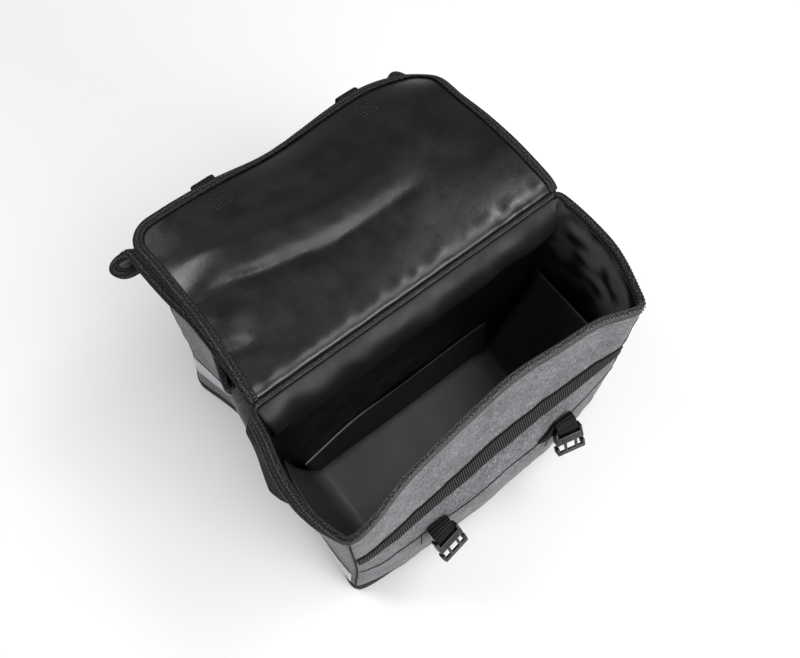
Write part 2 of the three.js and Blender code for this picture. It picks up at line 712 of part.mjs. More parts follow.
/** The stiffener in the open bag: one sheet folded up at the back and both ends. */
function addInsert(group) {
  const { sheet, floorZ, left, right, back, front } = INSERT;
  const { reach, leftTop, rightTop, curl } = END_FLAPS;
  const depths = spaced(front, back, 4);
  const flap = (footX, topX, topZ) => (y, up) => {
    const x = THREE.MathUtils.lerp(footX, topX, Math.sin((up * Math.PI) / curl) / Math.sin(Math.PI / curl));
    return new THREE.Vector3(x, y, floorZ + (topZ - floorZ) * up);
  };
  const floor = (x, y) => new THREE.Vector3(x, y, floorZ);
  const backFlap = (x, up) => {
    const top = BACK_FLAP.top + BACK_FLAP.rise * ((x - left) / (right - left));
    return new THREE.Vector3(x, back + BACK_FLAP.lean * up, floorZ + (top - floorZ) * up);
  };
  const ups = spaced(0, 1, 5);
  const body = toSolid(cloth(floor, spaced(left - 1, right + 1, 4), spaced(front, back + 1, 2), sheet))
    .add(toSolid(cloth(flap(left, -reach, leftTop), depths, ups, sheet)))
    .add(toSolid(cloth(flap(right, reach, rightTop), depths, ups, sheet)))
    .add(toSolid(cloth(backFlap, spaced(left + 4, right - 4, 6), spaced(0, 1, 2), sheet)));
  addMesh(group, 'base_insert', toGeometry(body), BOARD_GREY, 0.6);
}

const pair = new THREE.Group();

const nearBag = new THREE.Group();
pair.add(nearBag);
const nearSurfaces = addBody(nearBag, 'near', NEAR_FORM);
const openRows = addLid(nearBag, 'near', openLidPoint, OPEN_LID.rows, OPEN_LID.columns);
const bendEnd = LID_STRAP.reach + (LID_STRAP.bend * Math.PI) / 2;
const hangRows = [...spaced(LID_STRAP.reach, bendEnd, 4), bendEnd + LID_STRAP.hang];
BUCKLES.near.forEach((row) => {
  addSocket(nearBag, 'near', nearSurfaces, row);
  addLidStrap(nearBag, 'near', row.name, openLidPoint, row.x, openRows, hangRows, hangingWay);
});

const farBag = new THREE.Group();
farBag.rotation.z = Math.PI;
farBag.position.set(FAR_BAG_SHIFT, BAG_SPACING, 0);
pair.add(farBag);
const farSurfaces = addBody(farBag, 'far', FAR_FORM);
const foldLength = (CLOSED_LID.fold * Math.PI) / 2;
const foldRows = spaced(CLOSED_LID.run, CLOSED_LID.run + foldLength, CLOSED_LID.foldSteps).slice(1);
const closedFirstRows = [...CLOSED_LID.rows, ...foldRows];
const closedRows = addLid(farBag, 'far', closedLidPoint, closedFirstRows, CLOSED_LID.columns);
BUCKLES.far.forEach((row) => {
  addSocket(farBag, 'far', farSurfaces, row);
  const plugTop = row.root + row.lift + SOCKET.mouth + BUCKLE.plugBase + 3 * CLEAR;
  const lidX = row.x - readTable(CLOSED_LID.skew, 'from', 'aside', LID_DEPTH);
  const down = closedLidPoint(lidX - WEB_WIDTH / 2, LID_DEPTH).z - plugTop;
  const straightDown = (length) => new THREE.Vector3(0, 0, -length);
  addLidStrap(farBag, 'far', row.name, closedLidPoint, lidX, closedRows, [down], straightDown);
});

addBridge(pair);
addInsert(pair);

// Origin: middle of the whole pair, at floor level
const extent = new THREE.Box3().setFromObject(pair);
pair.position.set(-(extent.min.x + extent.max.x) / 2, -(extent.min.y + extent.max.y) / 2, 0);

const pannier = new THREE.Group();
pannier.add(pair);

export default pannier;
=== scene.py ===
import math

import bmesh
import bpy
from mathutils import Matrix, Vector, noise


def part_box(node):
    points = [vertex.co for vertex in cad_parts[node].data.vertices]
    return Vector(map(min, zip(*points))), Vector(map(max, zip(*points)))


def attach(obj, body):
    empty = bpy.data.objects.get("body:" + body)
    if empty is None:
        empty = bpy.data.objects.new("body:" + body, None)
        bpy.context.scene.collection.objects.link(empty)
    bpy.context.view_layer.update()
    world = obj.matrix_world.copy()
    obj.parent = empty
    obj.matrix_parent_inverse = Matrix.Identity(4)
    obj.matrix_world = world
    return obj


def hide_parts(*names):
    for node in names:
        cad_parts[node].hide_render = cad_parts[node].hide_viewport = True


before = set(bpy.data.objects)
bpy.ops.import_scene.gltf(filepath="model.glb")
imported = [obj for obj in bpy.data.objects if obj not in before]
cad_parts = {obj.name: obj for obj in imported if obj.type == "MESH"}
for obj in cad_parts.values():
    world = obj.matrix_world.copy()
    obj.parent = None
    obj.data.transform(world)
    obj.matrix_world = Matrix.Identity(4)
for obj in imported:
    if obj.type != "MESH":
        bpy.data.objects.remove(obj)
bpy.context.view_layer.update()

# Double bicycle pannier: the near bag stands open with its lid thrown back over the buckled far bag.
# Shapes are worked out in millimetres in a bag's own frame, front towards -Y, and placed in metres.

# One bag
LENGTH = 360
DEPTH = 143
HEIGHT = 292
FRONT_DROP = 12
FRONT_RIM = HEIGHT - FRONT_DROP
BACK_RIM = HEIGHT - 0.5
WALL = 2
BAG_SPACING = 24
FAR_BAG_SHIFT = -8
FOOT_ROUND = 7
FOOT_TUCK_TOP = 150

# Places round a bag, in millimetres from its back left corner by way of the front
FRONT_START = DEPTH
FRONT_END = DEPTH + LENGTH
BACK_START = 2 * DEPTH + LENGTH
LOOP = 2 * (LENGTH + DEPTH)

# Tapes, webbing and strips
TAPE_LEG = 10.5
LID_TAPE_LEG = 8
TAPE_STAND = 2.1
BAND_LOW = 154
BAND_HIGH = 178
RIB_PITCH = 2.7
WEB_WIDTH = 25
WEB = 1.8
REFLECTOR_LOW = 52
REFLECTOR_HIGH = 90

# Lids
LID_DEPTH = 204
LID_HALF = 178
LID_CORNER = 25
LID_SEAT = HEIGHT + 2
OPEN_LID_BACK = 0.35
FREE_DROP_START = 160
LEFT_DROP_START = 128
# The closed lid: its flat part, the radius of its fold and how far its middle stands up
FLAT_RUN = 148.35
FOLD = 18
CROWN = 5

# How the two bags have settled: pairs of place and amount, read with a smooth curve between them
NEAR_FORM = {
    "belly": [(0, 13), (40, 21), (90, 20), (130, 16), (178, 9), (280, 3)],
    "spread": [(-1, 0.2), (-0.83, 0.66), (-0.6, 0.9), (-0.1, 1), (0.4, 0.88), (0.74, 0.5), (1, 0)],
    "bow": [
        (-1, 0), (-0.86, 3), (-0.62, 15), (-0.44, 20), (-0.06, 27),
        (0.2, 30), (0.5, 25), (0.75, 20), (0.88, 11), (1, 3),
    ],
    "left_mouth": [(0, 0), (0.2, 3), (0.45, 11), (0.75, 11), (1, 1)],
    "right_mouth": [(0, 0), (0.3, 5), (0.6, 4), (1, -14)],
    "left_lip": [(0, 7), (0.2, 10), (0.5, 10.5), (0.8, 6), (1, 0)],
    "end_belly": 7,
    "waist": 1,
    "left_flare": 7,
    "right_flare": 0,
    "right_lean": [(0, 0), (292, 0)],
    "right_hollow": [(0, 0), (292, 0)],
    "foot_tuck": 0,
    "seed": 3.7,
}
FAR_FORM = {
    "belly": [(0, 8), (70, 14), (140, 12), (225, 8), (280, 4)],
    "spread": [(-1, 0), (-0.75, 0.56), (-0.4, 0.9), (0.4, 0.9), (0.75, 0.56), (1, 0)],
    "bow": [(-1, 6), (0, 4), (1, 6)],
    "left_mouth": [(0, -1), (0.5, -20), (1, -13)],
    "right_mouth": [(0, -1), (0.5, -20), (1, -13)],
    "left_lip": [(0, 0), (1, 0)],
    "end_belly": 9,
    "waist": 9,
    "left_flare": 3,
    "right_flare": 6,
    "right_lean": [(0, 0), (52, -7), (90, -7), (150, -4), (230, -1), (292, 0)],
    "right_hollow": [(0, 8), (52, 12), (90, 11), (150, 6), (230, 2), (292, 0)],
    "foot_tuck": 14,
    "seed": 11.3,
}
BOW_BY_HEIGHT = [(100, 0), (130, 0.18), (157, 0.43), (178, 0.62), (235, 0.88), (280, 1)]
# Middle height and half width of the ends' waist and of their flared foot
END_WAIST = (165, 70)
END_FLARE = (35, 60)
# Where the left end's lip turns out below the rim, and where it has gone again
LIP_TURN = (-6, 12)
LIP_FADE = (28, 130)

# The open lid by distance from its seam, and how its free and right edges droop
LID_RISE = [(0, 0), (4, 4.6), (9, 7), (16, 8.2), (60, 12.5), (110, 15), (165, 15), (204, 13)]
LID_FREE_DROP = [(-1, -1), (-0.5, 1), (-0.1, 14), (0.4, 3), (1, 6)]
LID_RIGHT_DROP = [(0, 0), (60, 1), (100, 7), (145, 18), (175, 22), (204, 36)]
# The closed lid lies askew
LID_SKEW = [(0, -8), (60, -6), (150, 14), (204, 14)]
RIGHT_SKEW = [(0, -10), (70, -9), (105, -4), (150, -1), (204, -1)]

foot_low, foot_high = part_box("near_base_panel")
PAIR_SHIFT = Vector(((foot_low.x + foot_high.x) / 2, foot_high.y, 0))


def near(point):
    """A point of the near bag, from millimetres in its own frame to metres in the row frame."""
    return Vector(point) / 1000 + PAIR_SHIFT


def far(point):
    """A point of the far bag, which stands the other way round behind the near one."""
    return Vector((FAR_BAG_SHIFT - point[0], BAG_SPACING - point[1], point[2])) / 1000 + PAIR_SHIFT


def blend(a, b, t):
    return a + (b - a) * t


def ease(low, high, at):
    """0 below low, 1 above high and smooth between them."""
    t = min(max((at - low) / (high - low), 0), 1)
    return t * t * (3 - 2 * t)


def hump(at, middle, half_width):
    """A bell of height 1 about middle."""
    return math.exp(-(((at - middle) / half_width) ** 2))


def read(rows, at):
    """Smooth value from (place, amount) rows, held level past both ends."""
    if at <= rows[0][0]:
        return rows[0][1]
    if at >= rows[-1][0]:
        return rows[-1][1]
    i = 0
    while at > rows[i + 1][0]:
        i += 1
    before = rows[max(i - 1, 0)]
    after = rows[min(i + 2, len(rows) - 1)]
    (a, low), (b, high) = rows[i], rows[i + 1]
    span = b - a
    start = (high - before[1]) / (b - before[0]) * span
    end = (after[1] - low) / (after[0] - a) * span
    t = (at - a) / span
    rise = high - low
    return low + t * (start + t * (3 * rise - 2 * start - end + t * (start + end - 2 * rise)))


def ripple(x, y, z, size):
    """Soft noise from about -1 to 1 with lumps of that size."""
    return noise.noise(Vector((x / size, y / size, z)))


def front_y(form, along, z):
    """Depth of the front panel, along from -1 at its left edge to 1 at its right."""
    belly = read(form["belly"], z) * read(form["spread"], along)
    return -(DEPTH + belly - read(form["bow"], along) * read(BOW_BY_HEIGHT, z))


def foot_tuck(form, z):
    """How far the back corners draw in towards the foot."""
    return form["foot_tuck"] * max(1 - z / FOOT_TUCK_TOP, 0) ** 2


def end_out(form, side, share, z):
    """How far an end panel stands out past the bag's length, share from 0 at its back to 1 at its front."""
    word = "left" if side < 0 else "right"
    rise = z / HEIGHT
    middle = 4 * share * (1 - share)
    mouth = read(form[f"{word}_mouth"], share) * rise * rise
    belly = form["end_belly"] * math.sin(math.pi * min(rise, 1)) * middle
    waist = form["waist"] * hump(z, *END_WAIST) * middle
    flare = form[f"{word}_flare"] * hump(z, *END_FLARE) * ease(0.35, 1, share)
    out = belly + mouth + flare - waist - (1 - share) * foot_tuck(form, z)
    if side > 0:
        out += read(form["right_lean"], z) * ease(0, 0.6, share)
        out -= read(form["right_hollow"], z) * math.sin(math.pi * share)
    else:
        lip = read(form["left_lip"], share)
        below_rim = HEIGHT - FRONT_DROP * share - z
        out += lip * ease(*LIP_TURN, below_rim) * (1 - ease(*LIP_FADE, below_rim))
        out -= lip * ease(*LIP_TURN, 0)
    return out


def end_point(form, side, share, up):
    z = up * (HEIGHT - FRONT_DROP * share)
    x = side * (LENGTH / 2 + end_out(form, side, share, z))
    return Vector((x, blend(-WALL / 2, front_y(form, side, z), share), z))


def front_point(form, along, up):
    z = up * FRONT_RIM
    left = -LENGTH / 2 - end_out(form, -1, 1, z)
    right = LENGTH / 2 + end_out(form, 1, 1, z)
    return Vector((blend(left, right, (along + 1) / 2), front_y(form, along, z), z))


def back_point(form, along, up):
    z = up * BACK_RIM
    return Vector((along * (LENGTH / 2 - foot_tuck(form, z)), -WALL / 2, z))


def sharp_wall(form, run, up):
    """Middle of the cloth, run millimetres round the bag from its back left corner, up a share of the rim."""
    run %= LOOP
    if run < FRONT_START:
        return end_point(form, -1, run / DEPTH, up)
    if run < FRONT_END:
        return front_point(form, 2 * (run - FRONT_START) / LENGTH - 1, up)
    if run < BACK_START:
        return end_point(form, 1, 1 - (run - FRONT_END) / DEPTH, up)
    return back_point(form, 1 - 2 * (run - BACK_START) / LENGTH, up)


# Steps round the bag over which a corner is averaged, each with its weight
CORNER_ROUND = ((-9, 1), (-4.5, 2), (0, 3), (4.5, 2), (9, 1))
CORNER_WEIGHT = sum(weight for _, weight in CORNER_ROUND)
NORMAL_RUN = 1.5
NORMAL_RISE = 0.004


def wall(form, run, up):
    """The wall with its upright corners rounded."""
    total = Vector()
    for step, weight in CORNER_ROUND:
        total += sharp_wall(form, run + step, up) * weight
    return total / CORNER_WEIGHT


def wall_normal(form, run, up):
    across = wall(form, run + NORMAL_RUN, up) - wall(form, run - NORMAL_RUN, up)
    above = min(up + NORMAL_RISE, 1)
    rise = wall(form, run, above) - wall(form, run, above - 2 * NORMAL_RISE)
    return across.cross(rise).normalized()


def slack(form, run, z, rim):
    """How far the loose cloth stands out or dips in, none under the binding and at the foot."""
    run %= LOOP
    ends = ease(0, 40, run) - ease(BACK_START - 40, BACK_START, run)
    front = ease(FRONT_START - 23, FRONT_START + 22, run) - ease(FRONT_END - 22, FRONT_END + 23, run)
    free = ease(0, 25, z) * (1 - ease(rim - 34, rim - 12, z)) * (0.4 * ends + 0.6 * front)
    lumps = 2.4 * ripple(run, z * 0.8, form["seed"], 66) + 1.0 * ripple(run, z, form["seed"] + 5, 27)
    creases = 0.6 * ripple(run * 1.6, z * 0.5, form["seed"] + 9, 14)
    return free * (lumps + creases)


def outside(form, run, z, stand=0.0):
    """A point on the outer face of the cloth at height z, with the foot turned under."""
    rim = sharp_wall(form, run, 1).z
    up = z / rim
    point = wall(form, run, up)
    under = max(FOOT_ROUND - z, 0)
    inset = FOOT_ROUND - math.sqrt(FOOT_ROUND**2 - under**2)
    return point + wall_normal(form, run, up) * (WALL / 2 + slack(form, run, z, rim) + stand - inset)


# Building


def new_object(name, bm, finishes, replaced=()):
    """A finished piece that rides the body and replaces the named CAD nodes."""
    mesh = bpy.data.meshes.new(name)
    bm.to_mesh(mesh)
    bm.free()
    piece = bpy.data.objects.new(name, mesh)
    bpy.context.collection.objects.link(piece)
    for polygon in mesh.polygons:
        polygon.use_smooth = True
    for finish in finishes:
        mesh.materials.append(finish)
    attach(piece, "root")
    if replaced:
        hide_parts(*replaced)
    return piece


def grid_mesh(columns, rows, place, size, to_row, turn=False):
    """A sheet of columns by rows cells with place(u, v) giving each point, and its UV map in metres."""
    bm = bmesh.new()
    bmesh.ops.create_grid(bm, x_segments=columns, y_segments=rows, size=0.5)
    flat = bm.loops.layers.uv.new("cloth")
    for face in bm.faces:
        for loop in face.loops:
            u, v = loop.vert.co.x + 0.5, loop.vert.co.y + 0.5
            loop[flat].uv = (u * size[0] / 1000, v * size[1] / 1000)
    for vert in bm.verts:
        vert.co = to_row(place(vert.co.x + 0.5, vert.co.y + 0.5))
    if turn:
        bmesh.ops.reverse_faces(bm, faces=bm.faces[:])
    return bm


def mark(bm, name, amount):
    """Keep amount(along, across), read in millimetres off the cloth map, on every point under that name."""
    flat = bm.loops.layers.uv.active
    layer = bm.verts.layers.float.new(name)
    for face in bm.faces:
        for loop in face.loops:
            loop.vert[layer] = amount(*loop[flat].uv * 1000)


def thicken(piece, thickness, offset=0.0, inner_finish=0):
    """Cloth thickness in millimetres, with the second finish on the inner face if inner_finish is 1."""
    solid = piece.modifiers.new("thickness", "SOLIDIFY")
    solid.thickness = thickness / 1000
    solid.offset = offset
    solid.material_offset = inner_finish
    return piece


def smooth(piece):
    rounded = piece.modifiers.new("smooth", "SUBSURF")
    rounded.levels = 1
    rounded.render_levels = 1
    return piece


def add_block(bm, low, high, bevel):
    """A block between two corners with its edges rounded."""
    low, high = Vector(low), Vector(high)
    matrix = Matrix.Translation((low + high) / 2) @ Matrix.Diagonal(high - low).to_4x4()
    made = bmesh.ops.create_cube(bm, size=1, matrix=matrix)
    edges = list({edge for vert in made["verts"] for edge in vert.link_edges})
    bmesh.ops.bevel(
        bm, geom=edges, offset=bevel, offset_type="OFFSET",
        segments=2, profile=0.5, affect="EDGES", material=-1,
    )


# Finishes


def finish_tree(name, color, roughness, **constants):
    """A material with its constants set on the shader's own sockets, its node tree and its shader."""
    finish = bpy.data.materials.new(name)
    finish.use_nodes = True
    finish.diffuse_color = (*color, 1)
    shader = finish.node_tree.nodes["Principled BSDF"]
    shader.inputs["Base Color"].default_value = (*color, 1)
    shader.inputs["Roughness"].default_value = roughness
    for socket, value in constants.items():
        shader.inputs[socket.replace("_", " ")].default_value = value
    return finish, finish.node_tree, shader


def node(tree, kind, links=None, **settings):
    made = tree.nodes.new(kind)
    for key, value in settings.items():
        setattr(made, key, value)
    for key, source in (links or {}).items():
        tree.links.new(source, made.inputs[key])
    return made


def cloth_place(tree, across=1, along=1):
    """The piece's own cloth map, in metres, stretched that many times each way."""
    flat = node(tree, "ShaderNodeUVMap", uv_map="cloth")
    mapping = node(tree, "ShaderNodeMapping", {"Vector": flat.outputs["UV"]})
    mapping.inputs["Scale"].default_value = (across, along, 1)
    return mapping.outputs["Vector"]


def object_place(tree):
    return node(tree, "ShaderNodeTexCoord").outputs["Object"]


def noise_map(tree, place, scale, detail=3.0, roughness=0.6):
    made = node(tree, "ShaderNodeTexNoise", {"Vector": place})
    made.inputs["Scale"].default_value = scale
    made.inputs["Detail"].default_value = detail
    made.inputs["Roughness"].default_value = roughness
    return made.outputs["Fac"]


def cloth_noise(tree, across, along, detail=3.0, roughness=0.6):
    """Noise with that many lumps to the metre each way over the piece's cloth."""
    return noise_map(tree, cloth_place(tree, across, along), 1.0, detail, roughness)


def attribute(tree, name):
    """What mark() kept on the piece's points."""
    return node(tree, "ShaderNodeAttribute", attribute_name=name).outputs["Fac"]


def ramp(tree, fac, stops):
    made = node(tree, "ShaderNodeValToRGB", {"Fac": fac})
    band = made.color_ramp
    while len(band.elements) < len(stops):
        band.elements.new(1)
    for element, (place, shade) in zip(band.elements, stops):
        element.position = place
        element.color = (*shade, 1)
    return made.outputs["Color"]


def grey(value):
    """The object's neutral grey, a touch cool."""
    return (value, value, value * 1.02)


def grey_ramp(tree, fac, *stops):
    return ramp(tree, fac, [(place, grey(shade)) for place, shade in stops])


def mix_color(tree, fac, a, b, kind="MIX"):
    made = node(tree, "ShaderNodeMix", data_type="RGBA", blend_type=kind)
    if isinstance(fac, float):
        made.inputs["Factor"].default_value = fac
    else:
        tree.links.new(fac, made.inputs["Factor"])
    tree.links.new(a, made.inputs["A"])
    tree.links.new(b, made.inputs["B"])
    return made.outputs["Result"]


def math_node(tree, kind, a, b):
    made = node(tree, "ShaderNodeMath", operation=kind)
    for socket, value in zip(made.inputs, (a, b)):
        if isinstance(value, (int, float)):
            socket.default_value = value
        else:
            tree.links.new(value, socket)
    return made.outputs[0]


def weigh(tree, a, share, b, other_share):
    """Two values added in those shares."""
    first = math_node(tree, "MULTIPLY", a, share)
    return math_node(tree, "ADD", first, math_node(tree, "MULTIPLY", b, other_share))


def wave_bands(tree, scale, distortion):
    """Bands across the length of the piece's cloth map."""
    made = node(tree, "ShaderNodeTexWave", {"Vector": cloth_place(tree)}, bands_direction="Y")
    made.inputs["Scale"].default_value = scale
    made.inputs["Distortion"].default_value = distortion
    return made.outputs["Fac"]


def paint(tree, shader, color):
    tree.links.new(color, shader.inputs["Base Color"])


def bump(tree, shader, height, strength, distance, under=None):
    """Fine relief on the shader's normal, over another relief where one is given."""
    made = node(tree, "ShaderNodeBump", {"Height": height})
    made.inputs["Strength"].default_value = strength
    made.inputs["Distance"].default_value = distance
    if under is not None:
        tree.links.new(under, made.inputs["Normal"])
    tree.links.new(made.outputs["Normal"], shader.inputs["Normal"])
    return made.outputs["Normal"]


def heather_cloth():
    """Grey melange polyester: short light and dark threads both ways, soft patches, matt."""
    finish, tree, shader = finish_tree("heather_cloth", grey(0.15), 0.9, Sheen_Weight=0.1)
    weft = cloth_noise(tree, 210, 640, 2.0, 0.75)
    warp = cloth_noise(tree, 640, 200, 2.0, 0.75)
    threads = weigh(tree, weft, 0.5, warp, 0.5)
    fleck = grey_ramp(tree, threads, (0.38, 0.05), (0.47, 0.13), (0.54, 0.2), (0.63, 0.34))
    patch = grey_ramp(tree, cloth_noise(tree, 26, 26, 4.0), (0.3, 0.6), (0.7, 1.0))
    mottle = grey_ramp(tree, cloth_noise(tree, 110, 110), (0.34, 0.62), (0.66, 1.0))
    patch = mix_color(tree, 1.0, patch, mottle, "MULTIPLY")
    paint(tree, shader, mix_color(tree, 1.0, fleck, patch, "MULTIPLY"))
    bump(tree, shader, threads, 0.3, 0.0006)
    return finish


def coated_lining(name, shade, gloss, rough, painted_light_shade=0.0):
    """Black coated lining: a soft gloss that breaks up over fine creases, painted paler as painted light
    where it is marked.
    """
    finish, tree, shader = finish_tree(name, grey(shade), 0.36, Specular_IOR_Level=gloss)
    crinkle = cloth_noise(tree, 34, 34, 5.0, 0.55)
    weave = cloth_noise(tree, 1500, 1500, 1.0)
    if painted_light_shade:
        # Painted light: where marked, the lining is painted paler, standing in for light on the right end's
        # inner wall.
        paint(tree, shader, grey_ramp(tree, attribute(tree, "painted_light"), (0, shade), (1, painted_light_shade)))
    worn = grey_ramp(tree, crinkle, (0.35, rough), (0.65, rough + 0.14))
    tree.links.new(worn, shader.inputs["Roughness"])
    soft = bump(tree, shader, crinkle, 0.12, 0.004)
    bump(tree, shader, weave, 0.08, 0.0004, soft)
    return finish


def woven_tape():
    """Black binding tape: a speckled close weave in lengthwise ridges, painted paler as painted light where
    it is marked.
    """
    finish, tree, shader = finish_tree("woven_tape", grey(0.012), 0.8, Specular_IOR_Level=0.18)
    ridges = wave_bands(tree, 78, 0.4)
    speckle = cloth_noise(tree, 820, 820, 2.0, 0.75)
    both = math_node(tree, "ADD", speckle, math_node(tree, "MULTIPLY", ridges, 0.1))
    dark = grey_ramp(tree, both, (0.45, 0.002), (0.56, 0.01), (0.7, 0.085))
    pale = grey_ramp(tree, both, (0.43, 0.006), (0.55, 0.034), (0.7, 0.17))
    # Painted light: where marked, the tape takes the pale tone, standing in for the front light on it.
    paint(tree, shader, mix_color(tree, attribute(tree, "painted_light"), dark, pale))
    bump(tree, shader, both, 0.6, 0.0008)
    return finish


def ribbed_tape():
    """Grosgrain of the front band: its ridges are painted light as a painted highlight and the grooves
    between are painted black as painted shade.
    """
    finish, tree, shader = finish_tree("ribbed_tape", grey(0.04), 0.85, Specular_IOR_Level=0.1)
    fuzz = cloth_noise(tree, 700, 900)
    # Painted light: the light on the rib tops is a painted highlight, the dark in the grooves a painted
    # shade.
    both = math_node(tree, "MULTIPLY", attribute(tree, "painted_rib_light"), math_node(tree, "ADD", fuzz, 0.45))
    paint(tree, shader, grey_ramp(tree, both, (0.15, 0.003), (0.5, 0.012), (0.95, 0.085)))
    bump(tree, shader, fuzz, 0.3, 0.0006)
    return finish


def ribbed_webbing():
    """Black polypropylene webbing with ribs across it."""
    finish, tree, shader = finish_tree("ribbed_webbing", grey(0.01), 0.75, Specular_IOR_Level=0.12)
    ribs = wave_bands(tree, 95, 0.6)
    both = math_node(tree, "MULTIPLY", ribs, cloth_noise(tree, 1100, 420))
    paint(tree, shader, grey_ramp(tree, both, (0.05, 0.003), (0.4, 0.01), (0.7, 0.045)))
    bump(tree, shader, ribs, 0.7, 0.0008)
    return finish


def moulded_plastic():
    """Black acetal with a faint moulded grain."""
    finish, tree, shader = finish_tree("moulded_plastic", grey(0.006), 0.28, Specular_IOR_Level=0.5)
    grain = noise_map(tree, object_place(tree), 700, 4.0)
    tree.links.new(grey_ramp(tree, grain, (0.3, 0.26), (0.7, 0.4)), shader.inputs["Roughness"])
    bump(tree, shader, grain, 0.06, 0.0003)
    return finish


def reflective_tape():
    """Silver-grey reflective strip with a fine honeycomb."""
    finish, tree, shader = finish_tree("reflective_tape", (0.5, 0.51, 0.53), 0.38, Metallic=0.25)
    cells = node(tree, "ShaderNodeTexVoronoi", {"Vector": cloth_place(tree)}, feature="DISTANCE_TO_EDGE")
    cells.inputs["Scale"].default_value = 420
    walls = cells.outputs["Distance"]
    paint(tree, shader, ramp(tree, walls, [(0.02, (0.36, 0.37, 0.39)), (0.14, (0.56, 0.57, 0.59))]))
    bump(tree, shader, walls, 0.15, 0.0003)
    return finish


def stiffener_board():
    """Dark grey flexible sheet with a fine grain; its flaps are painted dark as painted shade, its floor left
    lighter, and a pale line painted along the back flap's top edge as a painted highlight.
    """
    finish, tree, shader = finish_tree("stiffener_board", grey(0.1), 0.5)
    grain = noise_map(tree, object_place(tree), 900)
    patches = noise_map(tree, object_place(tree), 14, 4.0)
    tone = weigh(tree, grain, 0.35, patches, 0.65)
    floor = grey_ramp(tree, tone, (0.35, 0.13), (0.65, 0.2))
    # Painted shade: the flaps take this much darker tone where the mark is low, standing in for the shade
    # they lie in.
    flap_painted_shade = grey_ramp(tree, tone, (0.35, 0.025), (0.65, 0.045))
    face = mix_color(tree, attribute(tree, "painted_lit_share"), flap_painted_shade, floor)
    # Painted highlight: a pale line painted along the back flap's top edge, standing in for light catching
    # it.
    cut = grey_ramp(tree, grain, (0.3, 0.45), (0.7, 0.65))
    paint(tree, shader, mix_color(tree, attribute(tree, "painted_edge_highlight"), face, cut))
    bump(tree, shader, grain, 0.12, 0.0003)
    return finish


def sewing_thread(name, shade):
    """Twisted thread, darker and lighter by turns."""
    finish, tree, shader = finish_tree(name, grey(shade), 0.6)
    twist = noise_map(tree, object_place(tree), 1800, 2.0)
    paint(tree, shader, grey_ramp(tree, twist, (0.3, 0.6 * shade), (0.7, 1.5 * shade)))
    return finish


HEATHER = heather_cloth()
LID_LINING = coated_lining("lid_lining", 0.008, 0.5, 0.22)
BAG_LINING = coated_lining("bag_lining", 0.01, 0.22, 0.36, 0.14)
TAPE = woven_tape()
RIBS = ribbed_tape()
WEBBING = ribbed_webbing()
PLASTIC = moulded_plastic()
REFLECTIVE = reflective_tape()
BOARD = stiffener_board()
GREY_THREAD = sewing_thread("grey_thread", 0.05)
BLACK_THREAD = sewing_thread("black_thread", 0.005)


# Bags


SHELL_FOOT = 6
SHELL_SINK = 0.45
BASE_HIGH = 20
BASE_STAND = 0.35
# The base bags out at the front left corner
BASE_CORNER_OUT = 4
BASE_CORNER_WIDTH = 35
SOLE_SHARE = (0.84, 0.8, 1)
SOLE_RISE = 0.0006
SAME_PLACE = 1e-6


def build_shell(prefix, form, to_row):
    """The outer cloth: one lofted shell round the bag."""
    def place(u, v):
        run = u * LOOP
        rim = sharp_wall(form, run, 1).z
        return outside(form, run, blend(SHELL_FOOT, rim, v**1.1), -SHELL_SINK)

    bm = grid_mesh(200, 56, place, (LOOP, HEIGHT), to_row)
    bmesh.ops.remove_doubles(bm, verts=bm.verts[:], dist=SAME_PLACE)
    nodes = [f"{prefix}_{word}_panel" for word in ("front", "left_end", "right_end")]
    shell = new_object(f"{prefix}_shell", bm, [HEATHER], nodes)
    return thicken(shell, 1.0, -1)


def build_base(prefix, form, to_row):
    """The dark base: a tray turned up round the foot of the shell."""
    def place(u, v):
        run = u * LOOP
        corner = BASE_CORNER_OUT * hump(run, FRONT_START, BASE_CORNER_WIDTH)
        point = outside(form, run, v * BASE_HIGH, BASE_STAND + corner * (1 - v) ** 0.7)
        point.z = max(point.z, 0)
        return point

    bm = grid_mesh(200, 10, place, (LOOP, BASE_HIGH), to_row)
    bmesh.ops.remove_doubles(bm, verts=bm.verts[:], dist=SAME_PLACE)
    foot = [edge for edge in bm.edges if edge.is_boundary and max(vert.co.z for vert in edge.verts) < 0.001]
    sole = bmesh.ops.extrude_edge_only(bm, edges=foot)["geom"]
    sole_verts = [item for item in sole if isinstance(item, bmesh.types.BMVert)]
    middle = sum((vert.co for vert in sole_verts), Vector()) / len(sole_verts)
    bmesh.ops.scale(bm, vec=SOLE_SHARE, space=Matrix.Translation(-middle), verts=sole_verts)
    bmesh.ops.translate(bm, vec=(0, 0, SOLE_RISE), verts=sole_verts)
    rim_edges = [item for item in sole if isinstance(item, bmesh.types.BMEdge) and item.is_boundary]
    bmesh.ops.contextual_create(bm, geom=rim_edges)
    base = new_object(f"{prefix}_base_tray", bm, [TAPE], [f"{prefix}_base_panel"])
    return thicken(base, 0.8, -1)


# How far the lining bulges from the back below the lid's seam, by height
BACK_SHOULDER = [
    (190, 0), (212, 5), (235, 13), (252, 18), (262, 17.5),
    (270, 15.4), (277, 12), (283, 8), (288, 3.8), (291.5, 0.3),
]
SHOULDER_FADE = (-20, 5)
LINING_FOOT = 0.02
LINING_TOP = 0.995
LINING_SLACK = 1.6


def shoulder_share(run):
    """1 across the back, fading out round its two corners."""
    if run <= LOOP / 2:
        return ease(*SHOULDER_FADE, -run)
    return ease(*SHOULDER_FADE, LOOP - run) * ease(*SHOULDER_FADE, run - BACK_START)


